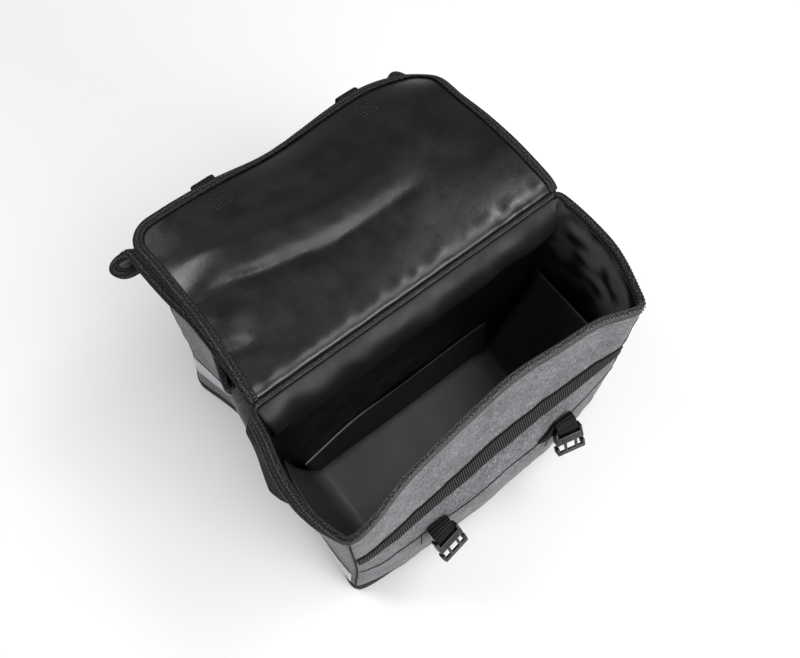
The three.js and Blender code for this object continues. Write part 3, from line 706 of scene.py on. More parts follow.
def build_lining(prefix, form, to_row):
    """The coated lining, loose inside the shell and up to the lid's seam at the back."""
    seed = form["seed"]

    def place(u, v):
        run = u * LOOP
        up = blend(LINING_FOOT, LINING_TOP, v)
        point = wall(form, run, up)
        creases = 1.2 * ripple(run, point.z, seed + 20, 34) + 0.8 * ripple(run, point.z, seed + 30, 15)
        tied = ease(0.95, 1, up) if run > BACK_START else ease(0.86, 0.97, up)
        free = ease(0.05, 0.2, up) * (1 - tied)
        crumpled = 1 + 0.14 * ripple(run, point.z * 0.7, seed + 70, 24)
        shoulder = read(BACK_SHOULDER, point.z) * shoulder_share(run) * crumpled
        dent = max(-slack(form, run, point.z, sharp_wall(form, run, 1).z), 0)
        inward = WALL / 2 + 0.1 + dent + free * (LINING_SLACK + creases) + shoulder
        return point - wall_normal(form, run, up) * inward

    # Painted light: marks the upper part of the right end's inner wall to be painted paler, standing in for
    # light that falls there.
    def painted_light(run, z):
        right_end = ease(FRONT_END - 8, FRONT_END + 20, run) - ease(BACK_START - 25, BACK_START, run)
        return right_end * ease(150, 230, z) * ease(-0.35, 0.25, ripple(run, z, seed + 50, 22))

    bm = grid_mesh(160, 60, place, (LOOP, HEIGHT), to_row, turn=True)
    mark(bm, "painted_light", painted_light)
    bmesh.ops.remove_doubles(bm, verts=bm.verts[:], dist=SAME_PLACE)
    lining = new_object(f"{prefix}_lining", bm, [BAG_LINING], [f"{prefix}_back_panel"])
    return smooth(thicken(lining, 0.5, -1))


RIM_TAPE_PAST = 4


def build_rim_binding(prefix, form, to_row):
    """Tape folded over the mouth's three free edges."""
    first, last = -RIM_TAPE_PAST, BACK_START + RIM_TAPE_PAST
    reach = TAPE_LEG + TAPE_STAND

    def place(u, v):
        run = blend(first, last, u)
        rim = sharp_wall(form, run, 1).z
        across = blend(-reach, reach, v)
        side = -1 if across < 0 else 1
        leg = max(abs(across) - TAPE_STAND, 0)
        up = (rim - leg) / rim
        turn = min(abs(across) / TAPE_STAND, 1) * math.pi / 2
        out = TAPE_STAND * math.sin(turn) + 0.25 * ripple(run, leg, form["seed"] + 41, 9)
        over = Vector((0, 0, TAPE_STAND * math.cos(turn)))
        return wall(form, run, up) - wall_normal(form, run, up) * side * out + over

    # Painted light: marks the front run of the tape to be painted paler, as if lit from the front; the ends
    # stay dark.
    def painted_light(along, _):
        run = first + along
        return ease(FRONT_START - 10, FRONT_START + 40, run) * (1 - ease(FRONT_END - 5, FRONT_END + 10, run))

    bm = grid_mesh(176, 14, place, (last - first, 2 * reach), to_row)
    mark(bm, "painted_light", painted_light)
    binding = new_object(f"{prefix}_rim_tape", bm, [TAPE], [f"{prefix}_rim_binding"])
    return smooth(thicken(binding, 0.8, 1))


BAND_INSET = 3


def build_band(prefix, form, to_row):
    """The ribbed band across the front, every rib a ridge."""
    first, last = FRONT_START + BAND_INSET, FRONT_END - BAND_INSET
    length, width = last - first, BAND_HIGH - BAND_LOW
    ribs = round(length / RIB_PITCH)

    def rib(u):
        return math.cos(2 * math.pi * u * ribs)

    def place(u, v):
        edge = ease(0, 0.08, v) * (1 - ease(0.92, 1, v))
        height = blend(BAND_LOW, BAND_HIGH, v)
        return outside(form, blend(first, last, u), height, 0.3 + edge * (1.2 + 0.5 * rib(u)))

    # Painted light on the band: 1 on the rib tops (painted highlight), down to 0 in the grooves (painted
    # shade) and along the band's edges.
    def painted_rib_light(along, across):
        v = across / width
        return ease(0, 0.1, v) * (1 - ease(0.92, 0.98, v)) * (0.5 + 0.5 * rib(along / length))

    bm = grid_mesh(ribs * 4, 10, place, (length, width), to_row)
    mark(bm, "painted_rib_light", painted_rib_light)
    return new_object(f"{prefix}_ribbed_band", bm, [RIBS], [f"{prefix}_front_band"])


REFLECTOR_LENGTH = DEPTH - 22
REFLECTOR_START = {"left": 16, "right": FRONT_END + 6}


def build_reflector(prefix, word, form, to_row):
    """Reflective strip across an end panel."""
    def place(u, v):
        run = REFLECTOR_START[word] + u * REFLECTOR_LENGTH
        return outside(form, run, blend(REFLECTOR_LOW, REFLECTOR_HIGH, v), 0.7)

    bm = grid_mesh(36, 8, place, (REFLECTOR_LENGTH, REFLECTOR_HIGH - REFLECTOR_LOW), to_row)
    strip = f"{prefix}_{word}_reflector"
    return thicken(new_object(f"{strip}_tape", bm, [REFLECTIVE], [strip]), 0.5)


SIDE_STRAP_TOP = 282
SIDE_STRAP_DROP = 228
SIDE_STRAP_TURN = math.radians(24)
SIDE_STRAP_BACK = 15


def build_side_strap(prefix, to_row):
    """Webbing that hangs loose outside the left end, near the back, turned a little and cut aslant."""
    def place(u, v):
        turn = SIDE_STRAP_TURN * ease(0.2, 1, v)
        across = WEB_WIDTH * (u - 0.5)
        stand = 5 + 8 * ease(0, 0.12, v) + 3 * v - 0.8 * math.sin(5 * v)
        cut = 24 * max(2 * u - 1, 0) ** 1.5 + 8 * max(1 - 2 * u, 0) ** 3
        return Vector((
            -(LENGTH / 2 + stand) - across * math.sin(turn),
            -SIDE_STRAP_BACK - 10 * v + across * math.cos(turn),
            SIDE_STRAP_TOP - SIDE_STRAP_DROP * v + cut * ease(0.84, 1, v),
        ))

    bm = grid_mesh(10, 40, place, (WEB_WIDTH, SIDE_STRAP_DROP), to_row)
    strap = f"{prefix}_side_strap"
    return smooth(thicken(new_object(f"{strap}_webbing", bm, [WEBBING], [strap]), 2.2))


# Lids


def lid_half(away):
    """Half the lid's width, less where its free corners are rounded."""
    into = away - (LID_DEPTH - LID_CORNER)
    if into <= 0:
        return LID_HALF
    return LID_HALF - LID_CORNER + math.sqrt(max(LID_CORNER**2 - into**2, 0))


# Fold lines of the open lid as (x, distance from the seam), and the widths of a fold's dip and of the puckers
LONG_CREASE = [(-140, 104), (-126, 102), (-100, 94), (-66, 88), (-34, 81), (6, 79), (44, 79), (90, 80)]
LEFT_CREASE = [(-178, 52), (-137, 39), (-120, 33)]
FOLD_DIP_WIDTH = 9
PUCKER_WIDTH = 8


def valley_fold(beyond, rise, steep, fade):
    """Height past a fold line: a small dip at it, then a steep lift that levels out and fades."""
    lift = rise * (1 - math.exp(-max(beyond, 0) / steep)) * (1 - ease(fade, 2.2 * fade, beyond))
    return lift - 0.25 * rise * hump(beyond, 0, FOLD_DIP_WIDTH)


def lid_creases(x, away):
    """Folds of the open lid: a long valley, a short one at its left edge, and puckers along the seam."""
    long_share = ease(-195, -112, x) * (1 - ease(0, 95, x))
    folds = long_share * valley_fold(away - read(LONG_CREASE, x), blend(9, 6, ease(-110, 20, x)), 17, 30)
    left_share = 1 - ease(-160, -122, x)
    folds += left_share * valley_fold(away - read(LEFT_CREASE, x), 7, 16, 28)
    pucker = 1.5 * ripple(x, away * 0.3, 7.7, 13) * hump(away, PUCKER_WIDTH, PUCKER_WIDTH)
    broad = 2.6 * ripple(x, away, 4.4, 80) * ease(15, 50, away)
    return folds + pucker + broad


def open_lid(x, away):
    """The near lid, thrown back: it rises from the seam and droops at its free edge and at both sides."""
    along = x / LID_HALF
    reach = min(max((away - FREE_DROP_START) / (LID_DEPTH - FREE_DROP_START), 0), 1.2)
    free = read(LID_FREE_DROP, along) * reach**2
    right = read(LID_RIGHT_DROP, away) * max((along - 0.5) / 0.5, 0) ** 1.6
    left = 2.5 * (max(-x - LEFT_DROP_START, 0) / 50) ** 2 * ease(60, 110, away)
    settled = ease(0, 30, LID_DEPTH - away)
    x += 5 * ease(40, LID_HALF, -x) * math.sin(math.pi * min(away / 195, 1))
    z = LID_SEAT + read(LID_RISE, away) - free - right - left + settled * lid_creases(x, away)
    return Vector((x, away + OPEN_LID_BACK, z))


# The closed lid sags at one side, where its corner flares out; the other corner rolls under, aslant
SIDE_SAG = 13
FLARED_CORNER = (-160, -122)
FLARE = math.radians(14)
ROLLED_CORNER = (115, 170)
ROLL = 10
ROLL_LATER = 14
ROLL_ASLANT = 22


def closed_lid(x, away):
    """The closed lid: flat, then a fold and a flap that rolls under at one corner and flares at the other."""
    aside = max((-x / LID_HALF - 0.5) / 0.5, 0)
    sag = SIDE_SAG * aside**2 * ease(30, 148, away)
    settled = ease(0, 25, LID_DEPTH - away) * ease(0, 25, LID_HALF - abs(x)) * ease(10, 40, away)
    top = LID_SEAT + CROWN - sag + settled * 1.5 * ripple(x, away, 15.5, 55)
    corner = ease(*ROLLED_CORNER, x)
    x += blend(read(LID_SKEW, away), read(RIGHT_SKEW, away), ease(60, 160, x))
    flat_run = FLAT_RUN + ROLL_LATER * corner
    if away < flat_run:
        return Vector((x, -away, top - CROWN * (1 - ease(-4, 28, away))))
    over = away - flat_run
    turn = min(over / FOLD, math.pi / 2)
    down = max(over - FOLD * math.pi / 2, 0)
    flap = Vector((x, -flat_run - FOLD * math.sin(turn), top - FOLD * (1 - math.cos(turn)) - down))
    roll = over / ROLL
    aslant = x + ROLL_ASLANT * ease(0, 2.4, roll)
    rolled = Vector((aslant, -flat_run - ROLL * math.sin(roll), top - ROLL * (1 - math.cos(roll))))
    flared = Vector((x, -flat_run - over * math.cos(FLARE), top - over * math.sin(FLARE)))
    flap = flap.lerp(rolled, corner)
    return flap.lerp(flared, 1 - ease(*FLARED_CORNER, x))


def surface_normal(surface, x, away):
    """Which way a lid's inner face looks."""
    step = 0.5
    across = surface(x + step, away) - surface(x - step, away)
    onward = surface(x, away + step) - surface(x, away - step)
    return across.cross(onward).normalized()


def build_lid(prefix, surface, to_row, finishes):
    """A lid: one sheet with rounded free corners, lining on one face and cloth on the other."""
    def place(u, v):
        away = v * LID_DEPTH
        return surface((2 * u - 1) * lid_half(away), away)

    bm = grid_mesh(120, 72, place, (2 * LID_HALF, LID_DEPTH), to_row)
    lid = new_object(f"{prefix}_lid_cloth", bm, finishes, [f"{prefix}_lid"])
    return thicken(lid, 1.8, 0, 1)


# The free edge's straight sides, its rounded corners and its front, and all of it
EDGE_SIDE = LID_DEPTH - LID_CORNER
EDGE_CORNER = LID_CORNER * math.pi / 2
EDGE_FRONT = 2 * (LID_HALF - LID_CORNER)
EDGE_TOTAL = 2 * EDGE_SIDE + 2 * EDGE_CORNER + EDGE_FRONT


def lid_edge(t):
    """Place and outward direction, each as (x, away), t millimetres along the free edge from its left end."""
    side, quarter, front = EDGE_SIDE, EDGE_CORNER, EDGE_FRONT
    if t < side:
        return -LID_HALF, t, -1, 0
    if t < side + quarter:
        turn = (t - side) / LID_CORNER
        out = (-math.cos(turn), math.sin(turn))
    elif t < side + quarter + front:
        return -LID_HALF + LID_CORNER + t - side - quarter, LID_DEPTH, 0, 1
    elif t < side + 2 * quarter + front:
        turn = (t - side - quarter - front) / LID_CORNER
        out = (math.sin(turn), math.cos(turn))
    else:
        return LID_HALF, EDGE_TOTAL - t, 1, 0
    centre = math.copysign(LID_HALF - LID_CORNER, out[0])
    return centre + LID_CORNER * out[0], side + LID_CORNER * out[1], *out


def build_lid_binding(prefix, surface, to_row):
    """Tape folded over the lid's three free edges."""
    reach = LID_TAPE_LEG + TAPE_STAND

    def place(u, v):
        x, away, out_x, out_away = lid_edge(blend(1, EDGE_TOTAL - 1, u))
        across = blend(-reach, reach, v)
        side = -1 if across < 0 else 1
        leg = max(abs(across) - TAPE_STAND, 0)
        turn = min(abs(across) / TAPE_STAND, 1) * math.pi / 2
        at = x - out_x * leg, away - out_away * leg
        edge = surface(*at)
        outward = (surface(at[0] + out_x, at[1] + out_away) - edge).normalized()
        stand = (TAPE_STAND + 0.2 * ripple(x, away, 31, 8)) * math.sin(turn)
        return edge + surface_normal(surface, *at) * side * stand + outward * TAPE_STAND * math.cos(turn)

    bm = grid_mesh(190, 14, place, (EDGE_TOTAL, 2 * reach), to_row, turn=True)
    tape = new_object(f"{prefix}_lid_tape", bm, [TAPE], [f"{prefix}_lid_binding"])
    return smooth(thicken(tape, 0.8, 1))


# Webbing and buckles

STRAP_AWAY = 4.4
CLOSED_STRAP_OUT = FLAT_RUN + FOLD + STRAP_AWAY
BUCKLE_HALF = 16
BUCKLE_THICK = 9.5
BUCKLE_MOUTH = 28
RAIL_INNER = 12.6
PRONG_INNER = 8
PLUG_BASE = 15.5
LOOP_RADIUS = 2.9
LID_STRAP_START = 166

# name, x, height of the root, reach and lift of the bar, pitch of the mouth, yaw of the buckle
NEAR_BUCKLES = [
    ("left", -88, 124, 171, -2, -55, 8),
    ("right", 84, 124, 166, 0, -55, -14),
]
FAR_BUCKLES = [
    ("left", -88, 142, CLOSED_STRAP_OUT, 34, 90, 0),
    ("right", 88, 142, CLOSED_STRAP_OUT, 34, 90, 0),
]


def even_path(corners, count):
    """The way through some corners as count + 1 evenly spaced points."""
    lengths = [0]
    for a, b in zip(corners, corners[1:]):
        lengths.append(lengths[-1] + (b - a).length)
    points = []
    for n in range(count + 1):
        at = lengths[-1] * n / count
        i = 0
        while i < len(corners) - 2 and at > lengths[i + 1]:
            i += 1
        span = lengths[i + 1] - lengths[i]
        points.append(corners[i].lerp(corners[i + 1], (at - lengths[i]) / span))
    return points, lengths[-1]


def build_ribbon(name, corners, count, to_row, yaw=0.0):
    """Webbing along corners in a plane square to X, its middle turned about the upright by yaw degrees."""
    points, length = even_path(corners, count)

    def place(u, v):
        turn = math.radians(yaw) * ease(0, 0.4, v) * (1 - ease(0.6, 1, v))
        across = Vector((math.cos(turn), math.sin(turn), 0))
        return points[round(v * count)] + across * (u - 0.5) * WEB_WIDTH

    bm = grid_mesh(6, count, place, (WEB_WIDTH, length), to_row)
    return smooth(thicken(new_object(f"{name}_webbing", bm, [WEBBING], [name]), WEB))


# How high above the bar each buckle's webbing leaves the panel, and how far it arches on its way
ARCH = {
    ("near", "left"): (4, 2), ("near", "right"): (9, 5),
    ("far", "left"): (1.3, 0), ("far", "right"): (1.3, 0),
}
STRAP_STEPS = 8
LOOP_STEPS = 16
UNDER_STRAP = 1.3


def build_buckle_strap(prefix, form, to_row, row):
    """Webbing from the front panel round the socket's bar and back."""
    name, x, root_z, bar_out, lift, _, yaw = row
    wall_y = front_y(form, x / (LENGTH / 2), root_z) - WALL / 2
    bar = Vector((x, -bar_out, root_z + lift))
    root = Vector((x, wall_y + 0.6, root_z))
    run = (bar - root).normalized()
    across = Vector((0, run.z, -run.y))
    root_high, arch = ARCH[prefix, name]
    corners = []
    for step in range(STRAP_STEPS):
        share = step / STRAP_STEPS
        height = blend(root_high, LOOP_RADIUS, share) + arch * math.sin(math.pi * share)
        corners.append(root.lerp(bar, share) + across * height)
    for step in range(LOOP_STEPS + 1):
        turn = math.pi / 2 - math.pi * step / LOOP_STEPS
        corners.append(bar + run * LOOP_RADIUS * math.cos(turn) + across * LOOP_RADIUS * math.sin(turn))
    corners.append(root - across * UNDER_STRAP)
    return build_ribbon(f"{prefix}_{name}_buckle_strap", corners, 36, to_row, yaw)


TAIL_LENGTH = 26
TAIL_WIDTH = 20
TAIL_POINT = 1


def build_strap_tail(form, row):
    """Loose end of the near bag's right webbing, a pointed tab flat on the front beside its root."""
    name, x, root_z = row[:3]

    def place(u, v):
        half = blend(TAIL_POINT, TAIL_WIDTH / 2, (1 - u) ** 0.8)
        run = FRONT_START + LENGTH / 2 + x - 6 - TAIL_LENGTH * u
        return outside(form, run, root_z - 4 * u + (2 * v - 1) * half, 1.2 + 2 * math.sin(math.pi * u))

    bm = grid_mesh(12, 6, place, (TAIL_LENGTH, TAIL_WIDTH), near)
    return thicken(new_object(f"near_{name}_strap_tail", bm, [WEBBING]), 1.6)


def both_sides(inner, outer):
    """A span on the left and on the right of the middle, each from its lower x to its higher."""
    return (-outer, -inner), (inner, outer)


def build_socket(prefix, to_row, row):
    """Female half of a buckle: bar at its origin, mouth towards -Y, windows behind the rail."""
    name, x, root_z, bar_out, lift, pitch, yaw = row
    half, thick = BUCKLE_HALF, BUCKLE_THICK / 2
    bm = bmesh.new()
    for left, right in both_sides(RAIL_INNER, half):
        add_block(bm, (left, -16, -thick), (right, 1.4, thick), 1.3)
    for left, right in both_sides(13, half + 1.2):
        add_block(bm, (left, -BUCKLE_MOUTH, -thick + 0.6), (right, -19.5, thick - 0.6), 1.6)
    for left, right in both_sides(4.6, 7.8):
        add_block(bm, (left, -25.5, thick - 2.2), (right, -13, thick), 0.6)
    for low, high in ((-thick, -thick + 1.9), (thick - 1.9, thick)):
        add_block(bm, (-half, -15, low), (half, -6.5, high), 0.6)
    add_block(bm, (-half - 0.4, -BUCKLE_MOUTH - 1.2, thick - 3.4), (half + 0.4, -24.6, thick), 0.9)
    add_block(bm, (-half + 1, -9, -thick), (half - 1, -5.6, thick), 0.8)
    add_block(bm, (-13.8, -1.25, -1.3), (13.8, 1.25, 1.3), 0.6)
    for y in (-8.4, -10.4, -12.4):
        add_block(bm, (-10, y - 0.5, thick - 0.4), (10, y + 0.5, thick + 0.5), 0.3)
    bar = Vector((x, -bar_out, root_z + lift))
    turn = Matrix.Rotation(math.radians(yaw), 4, "Z") @ Matrix.Rotation(math.radians(-pitch), 4, "X")
    matrix = Matrix.Translation(bar) @ turn
    for vert in bm.verts:
        vert.co = to_row(matrix @ vert.co)
    socket = f"{prefix}_{name}_socket"
    return new_object(f"{socket}_moulding", bm, [PLASTIC], [socket])


def build_plug(name, turned):
    """Male half of a buckle: prongs downwards, two slots in its base for the webbing."""
    low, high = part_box(name)
    bm = bmesh.new()
    edge = BUCKLE_HALF - 0.5
    for left, right in both_sides(RAIL_INNER, edge):
        add_block(bm, (left, -PLUG_BASE, -4), (right, -0.4, 4), 1.2)
    for left, right in both_sides(PRONG_INNER, 11.5):
        add_block(bm, (left, -1, -2.2), (right, 15, 2.2), 0.7)
    for left, right in both_sides(PRONG_INNER, edge + 0.2):
        add_block(bm, (left, 6.6, -2.2), (right, 14.4, 2.2), 0.9)
    for start, end in ((-PLUG_BASE, -12.4), (-9.6, -5.9), (-3.1, -0.4)):
        add_block(bm, (-13.2, start, -3.6), (13.2, end, 3.6), 0.8)
    add_block(bm, (-3, -1, -2.4), (3, 14, 2.4), 0.8)
    place = Vector(((low.x + high.x) / 2, (low.y + high.y) / 2, high.z - PLUG_BASE / 1000))
    turn = Matrix.Rotation(math.pi if turned else 0, 4, "Z") @ Matrix.Rotation(-math.pi / 2, 4, "X")
    matrix = Matrix.Translation(place) @ turn @ Matrix.Scale(0.001, 4)
    bmesh.ops.transform(bm, matrix=matrix, verts=bm.verts[:])
    return new_object(f"{name}_moulding", bm, [PLASTIC], [name])


# Straight on past the open lid's edge, round a bend and down
HANG_REACH = 5
HANG_BEND = 8
HANG_LENGTH = HANG_REACH + HANG_BEND * math.pi / 2 + 24


def hang_over(past):
    """Way of an open lid's strap past the lid's edge."""
    if past < HANG_REACH:
        return Vector((0, past, 0))
    turn = min((past - HANG_REACH) / HANG_BEND, math.pi / 2)
    down = max(past - HANG_REACH - HANG_BEND * math.pi / 2, 0)
    return Vector((0, HANG_REACH + HANG_BEND * math.sin(turn), HANG_BEND * (math.cos(turn) - 1) - down))


def hang_down(past):
    """Way of a closed lid's strap past the lid's edge."""
    return Vector((0, 0, -past))


LID_STRAP_STEPS = 60


def build_lid_strap(prefix, word, surface, x, past_edge, length, to_row):
    """Webbing on the outside of the lid that runs length past its free edge, by the way past_edge() gives."""
    def way(away):
        at = min(away, LID_DEPTH)
        return surface(x, at) - surface_normal(surface, x, at) * STRAP_AWAY + past_edge(away - at)

    shares = [n / LID_STRAP_STEPS for n in range(LID_STRAP_STEPS + 1)]
    corners = [way(blend(LID_STRAP_START, LID_DEPTH + length, share)) for share in shares]
    return build_ribbon(f"{prefix}_{word}_lid_strap", corners, LID_STRAP_STEPS, to_row)


# Bridge, stiffener, seams and stitches

BRIDGE_LENGTH = 344
BRIDGE_TOP = HEIGHT - 4
BRIDGE_BOTTOM = HEIGHT - 56
BRIDGE_LEG = WALL / 2 + 0.35
BRIDGE_STEPS = 40
BEND_STEPS = 24


def build_bridge():
    """Cloth that joins the two bags, folded down into the gap between their backs."""
    radius = BAG_SPACING / 2 - BRIDGE_LEG
    corners = [Vector((0, BRIDGE_LEG, BRIDGE_TOP))]
    for step in range(BEND_STEPS + 1):
        turn = math.pi + math.pi * step / BEND_STEPS
        y = BAG_SPACING / 2 + radius * math.cos(turn)
        corners.append(Vector((0, y, BRIDGE_BOTTOM + radius + radius * math.sin(turn))))
    corners.append(Vector((0, BAG_SPACING - BRIDGE_LEG, BRIDGE_TOP)))
    points, length = even_path(corners, BRIDGE_STEPS)

    def place(u, v):
        sag = 2.5 * ripple(u * BRIDGE_LENGTH, v * 116, 51, 45) * math.sin(math.pi * v) ** 2
        x = FAR_BAG_SHIFT / 2 + (u - 0.5) * BRIDGE_LENGTH
        return points[round(v * BRIDGE_STEPS)] + Vector((x, 0, sag))

    bm = grid_mesh(70, BRIDGE_STEPS, place, (BRIDGE_LENGTH, length), near)
    bridge = thicken(new_object("bridge_cloth", bm, [HEATHER], ["bridge"]), 1.4)


# The stiffener: its floor, its end flaps' feet and tops and how far out they lean, its front and its back
BOARD_THICK = 1.8
BOARD_FLOOR = 4.6
BOARD_LEFT, BOARD_RIGHT = -143, 116
LEFT_FLAP_TOP, RIGHT_FLAP_TOP = 148, 150
FLAP_REACH = 173
FLAP_STEPS = 12
FLAP_LEAN = math.pi / 2.4
FLOOR_STEPS = 8
BOARD_FRONT, BOARD_BACK = -130, -12
BOARD_WIDTH = BOARD_BACK - BOARD_FRONT
BOARD_COLUMNS = 90
BACK_FLAP_LENGTH = 264
BACK_FLAP_HIGH = 74


def end_flap(foot, top_z, up):
    """A point up an end flap of the stiffener, which leans out to the bag's wall."""
    lean = math.sin(up * FLAP_LEAN) / math.sin(FLAP_LEAN)
    x = blend(foot, math.copysign(FLAP_REACH, foot), lean)
    return Vector((x, 0, blend(BOARD_FLOOR, top_z, up)))


def build_insert():
    """Stiffener in the open bag: one sheet folded up at both ends, and its back flap."""
    corners = [end_flap(BOARD_LEFT, LEFT_FLAP_TOP, 1 - n / FLAP_STEPS) for n in range(FLAP_STEPS)]
    for n in range(FLOOR_STEPS + 1):
        x = blend(BOARD_LEFT + 3, BOARD_RIGHT - 3, n / FLOOR_STEPS)
        corners.append(Vector((x, 0, BOARD_FLOOR)))
    corners += [end_flap(BOARD_RIGHT, RIGHT_FLAP_TOP, (n + 1) / FLAP_STEPS) for n in range(FLAP_STEPS)]
    points, length = even_path(corners, BOARD_COLUMNS)

    def place(u, v):
        point = points[round(u * BOARD_COLUMNS)]
        leaning = ease(-BOARD_LEFT, FLAP_REACH, -point.x)
        bulge = 9 * leaning * 4 * v * (1 - v)
        cut_back = 14 * leaning * ease(0.72, 1, v)
        wave = 0.5 * ripple(point.x, v * BOARD_WIDTH, 61, 50)
        return point + Vector((-bulge, blend(BOARD_FRONT, BOARD_BACK, v), wave - cut_back))

    bm = grid_mesh(BOARD_COLUMNS, 14, place, (length, BOARD_WIDTH), near)
    # Painted shade: the mark is 1 on the lit floor and falls to 0 on the right flap and the floor's right
    # end, 0.15 on the left flap; low values are painted dark.
    painted_lit_share = bm.verts.layers.float.new("painted_lit_share")
    for vert in bm.verts:
        x = (vert.co.x - PAIR_SHIFT.x) * 1000
        from_left = 0.15 + 0.85 * ease(BOARD_LEFT - 16, BOARD_LEFT + 6, x)
        vert[painted_lit_share] = from_left * (1 - ease(BOARD_RIGHT - 42, BOARD_RIGHT - 2, x))
    thicken(new_object("insert_tray", bm, [BOARD], ["base_insert"]), BOARD_THICK)

    def place_back(u, v):
        top = 40 + 38 * ease(-0.1, 0.35, u)
        y = BOARD_BACK + 6 * v + 0.6 * math.sin(9 * u)
        return Vector((blend(BOARD_LEFT - 9, BOARD_RIGHT - 4, u), y, blend(BOARD_FLOOR, top, v)))

    # Painted highlight: marks the left part of the back flap's top edge to be painted pale.
    def painted_edge_highlight(along, high):
        return ease(0.96, 1, high / BACK_FLAP_HIGH) * (1 - ease(0.1, 0.45, along / BACK_FLAP_LENGTH))

    bm = grid_mesh(40, 24, place_back, (BACK_FLAP_LENGTH, BACK_FLAP_HIGH), near)
    mark(bm, "painted_edge_highlight", painted_edge_highlight)
    # The back flap carries no lit mark, so it is painted dark all over as painted shade.
    thicken(new_object("insert_back_flap", bm, [BOARD]), BOARD_THICK)


# Widths of the piped seams and the height of their bead, in metres
CORNER_PIPING = 0.0021
FRONT_PIPING = 0.0013
BEAD_HIGH = 0.0007
BEAD_SINK = 0.15
FRONT_SEAM = 116
WAY_STEP = 0.002


def add_strip(bm, way, count, width):
    """A low rounded bead along way(t), which gives a point, its direction and the outward normal."""
    made = bmesh.ops.create_grid(bm, x_segments=count, y_segments=4, size=0.5)
    for vert in made["verts"]:
        t, across = vert.co.x + 0.5, vert.co.y * 2
        point, along, out = way(t)
        side = out.cross(along)
        high = BEAD_HIGH * (math.sqrt(max(1 - across**2, 0)) - BEAD_SINK)
        vert.co = point + side * across * width / 2 + out * high


def outside_way(form, to_row, start, end):
    """Way over the outer cloth between two (run, height) places."""
    def at(t, stand=0.0):
        run, z = blend(start[0], end[0], t), blend(start[1], end[1], t)
        return to_row(outside(form, run, z, stand))

    def way(t):
        along = (at(t + WAY_STEP) - at(t - WAY_STEP)).normalized()
        return at(t), along, (at(t, 1) - at(t)).normalized()

    return way


def build_seams(prefix, form, to_row):
    """Piped seams: down both front corners, along the front, and short ones beside the open bag's straps."""
    bm = bmesh.new()

    def seam(start, end, count, width):
        add_strip(bm, outside_way(form, to_row, start, end), count, width)

    for run in (FRONT_START, FRONT_END):
        seam((run, 3), (run, FRONT_RIM - 12), 70, CORNER_PIPING)
    seam((FRONT_START + 2, FRONT_SEAM), (FRONT_END - 2, FRONT_SEAM), 160, FRONT_PIPING)
    for _, x, root_z, *_ in NEAR_BUCKLES if prefix == "near" else ():
        run = FRONT_START + LENGTH / 2 + x - 18
        seam((run, root_z - 36), (run, root_z - 4), 30, FRONT_PIPING)
    return new_object(f"{prefix}_seams", bm, [TAPE])


HINGE_HALF = LID_HALF - 1
HINGE_DEPTH = 1.1
HINGE_HIGH = 3


def build_hinge(prefix, to_row):
    """The tape sewn over the seam between the lid and the back."""
    def place(u, v):
        turn = math.pi * v
        y = -0.5 - HINGE_DEPTH * math.cos(turn)
        return Vector((blend(-HINGE_HALF, HINGE_HALF, u), y, HEIGHT - 0.6 + HINGE_HIGH * math.sin(turn)))

    bm = grid_mesh(120, 8, place, (2 * HINGE_HALF, 7), to_row)
    return thicken(new_object(f"{prefix}_hinge_tape", bm, [TAPE]), 0.5)


# Stitches: their pitch and half their length in millimetres, and their size in metres
STITCH_PITCH = 3.4
STITCH_HALF = 1.15
STITCH_LENGTH = 2 * STITCH_HALF / 1000
STITCH_WIDTH = 0.0009
STITCH_THICK = 0.0006
BOX_STITCH_WIDTH = 0.0017
# Where the rows lie on the tapes, and how far they stand out from the cloth
RIM_ROWS = (0.8, 8.2)
RIM_STITCH_STAND = TAPE_STAND + 0.85
LID_ROW = 6.2
LID_STITCH_STAND = TAPE_STAND + 0.8
# The crossed square that sews a strap to the lid
BOX_HALF = 9
BOX_START, BOX_END = 172, 188
BOX_STITCHES = 6


def add_stitch(bm, point, along, out, length=STITCH_LENGTH, width=STITCH_WIDTH):
    side = out.cross(along)
    basis = Matrix((along * length, side * width, out * STITCH_THICK)).transposed().to_4x4()
    bmesh.ops.create_cube(bm, size=1, matrix=Matrix.Translation(point) @ basis)


def build_rim_stitches(prefix, form, to_row):
    """Two rows of stitches on each face of the rim's tape."""
    bm = bmesh.new()
    for side in (-1, 1):
        stand = side * RIM_STITCH_STAND
        for leg in RIM_ROWS:
            for n in range(int((BACK_START - 20) / STITCH_PITCH)):
                run = 10 + STITCH_PITCH * n
                rim = sharp_wall(form, run, 1).z
                up = (rim - leg) / rim
                normal = wall_normal(form, run, up)
                here = to_row(wall(form, run, up) + normal * stand)
                ahead = to_row(wall(form, run + 1, up) + normal * stand)
                out = (to_row(wall(form, run, up) + normal * (stand + side)) - here).normalized()
                add_stitch(bm, here, (ahead - here).normalized(), out)
    return new_object(f"{prefix}_rim_stitches", bm, [GREY_THREAD])


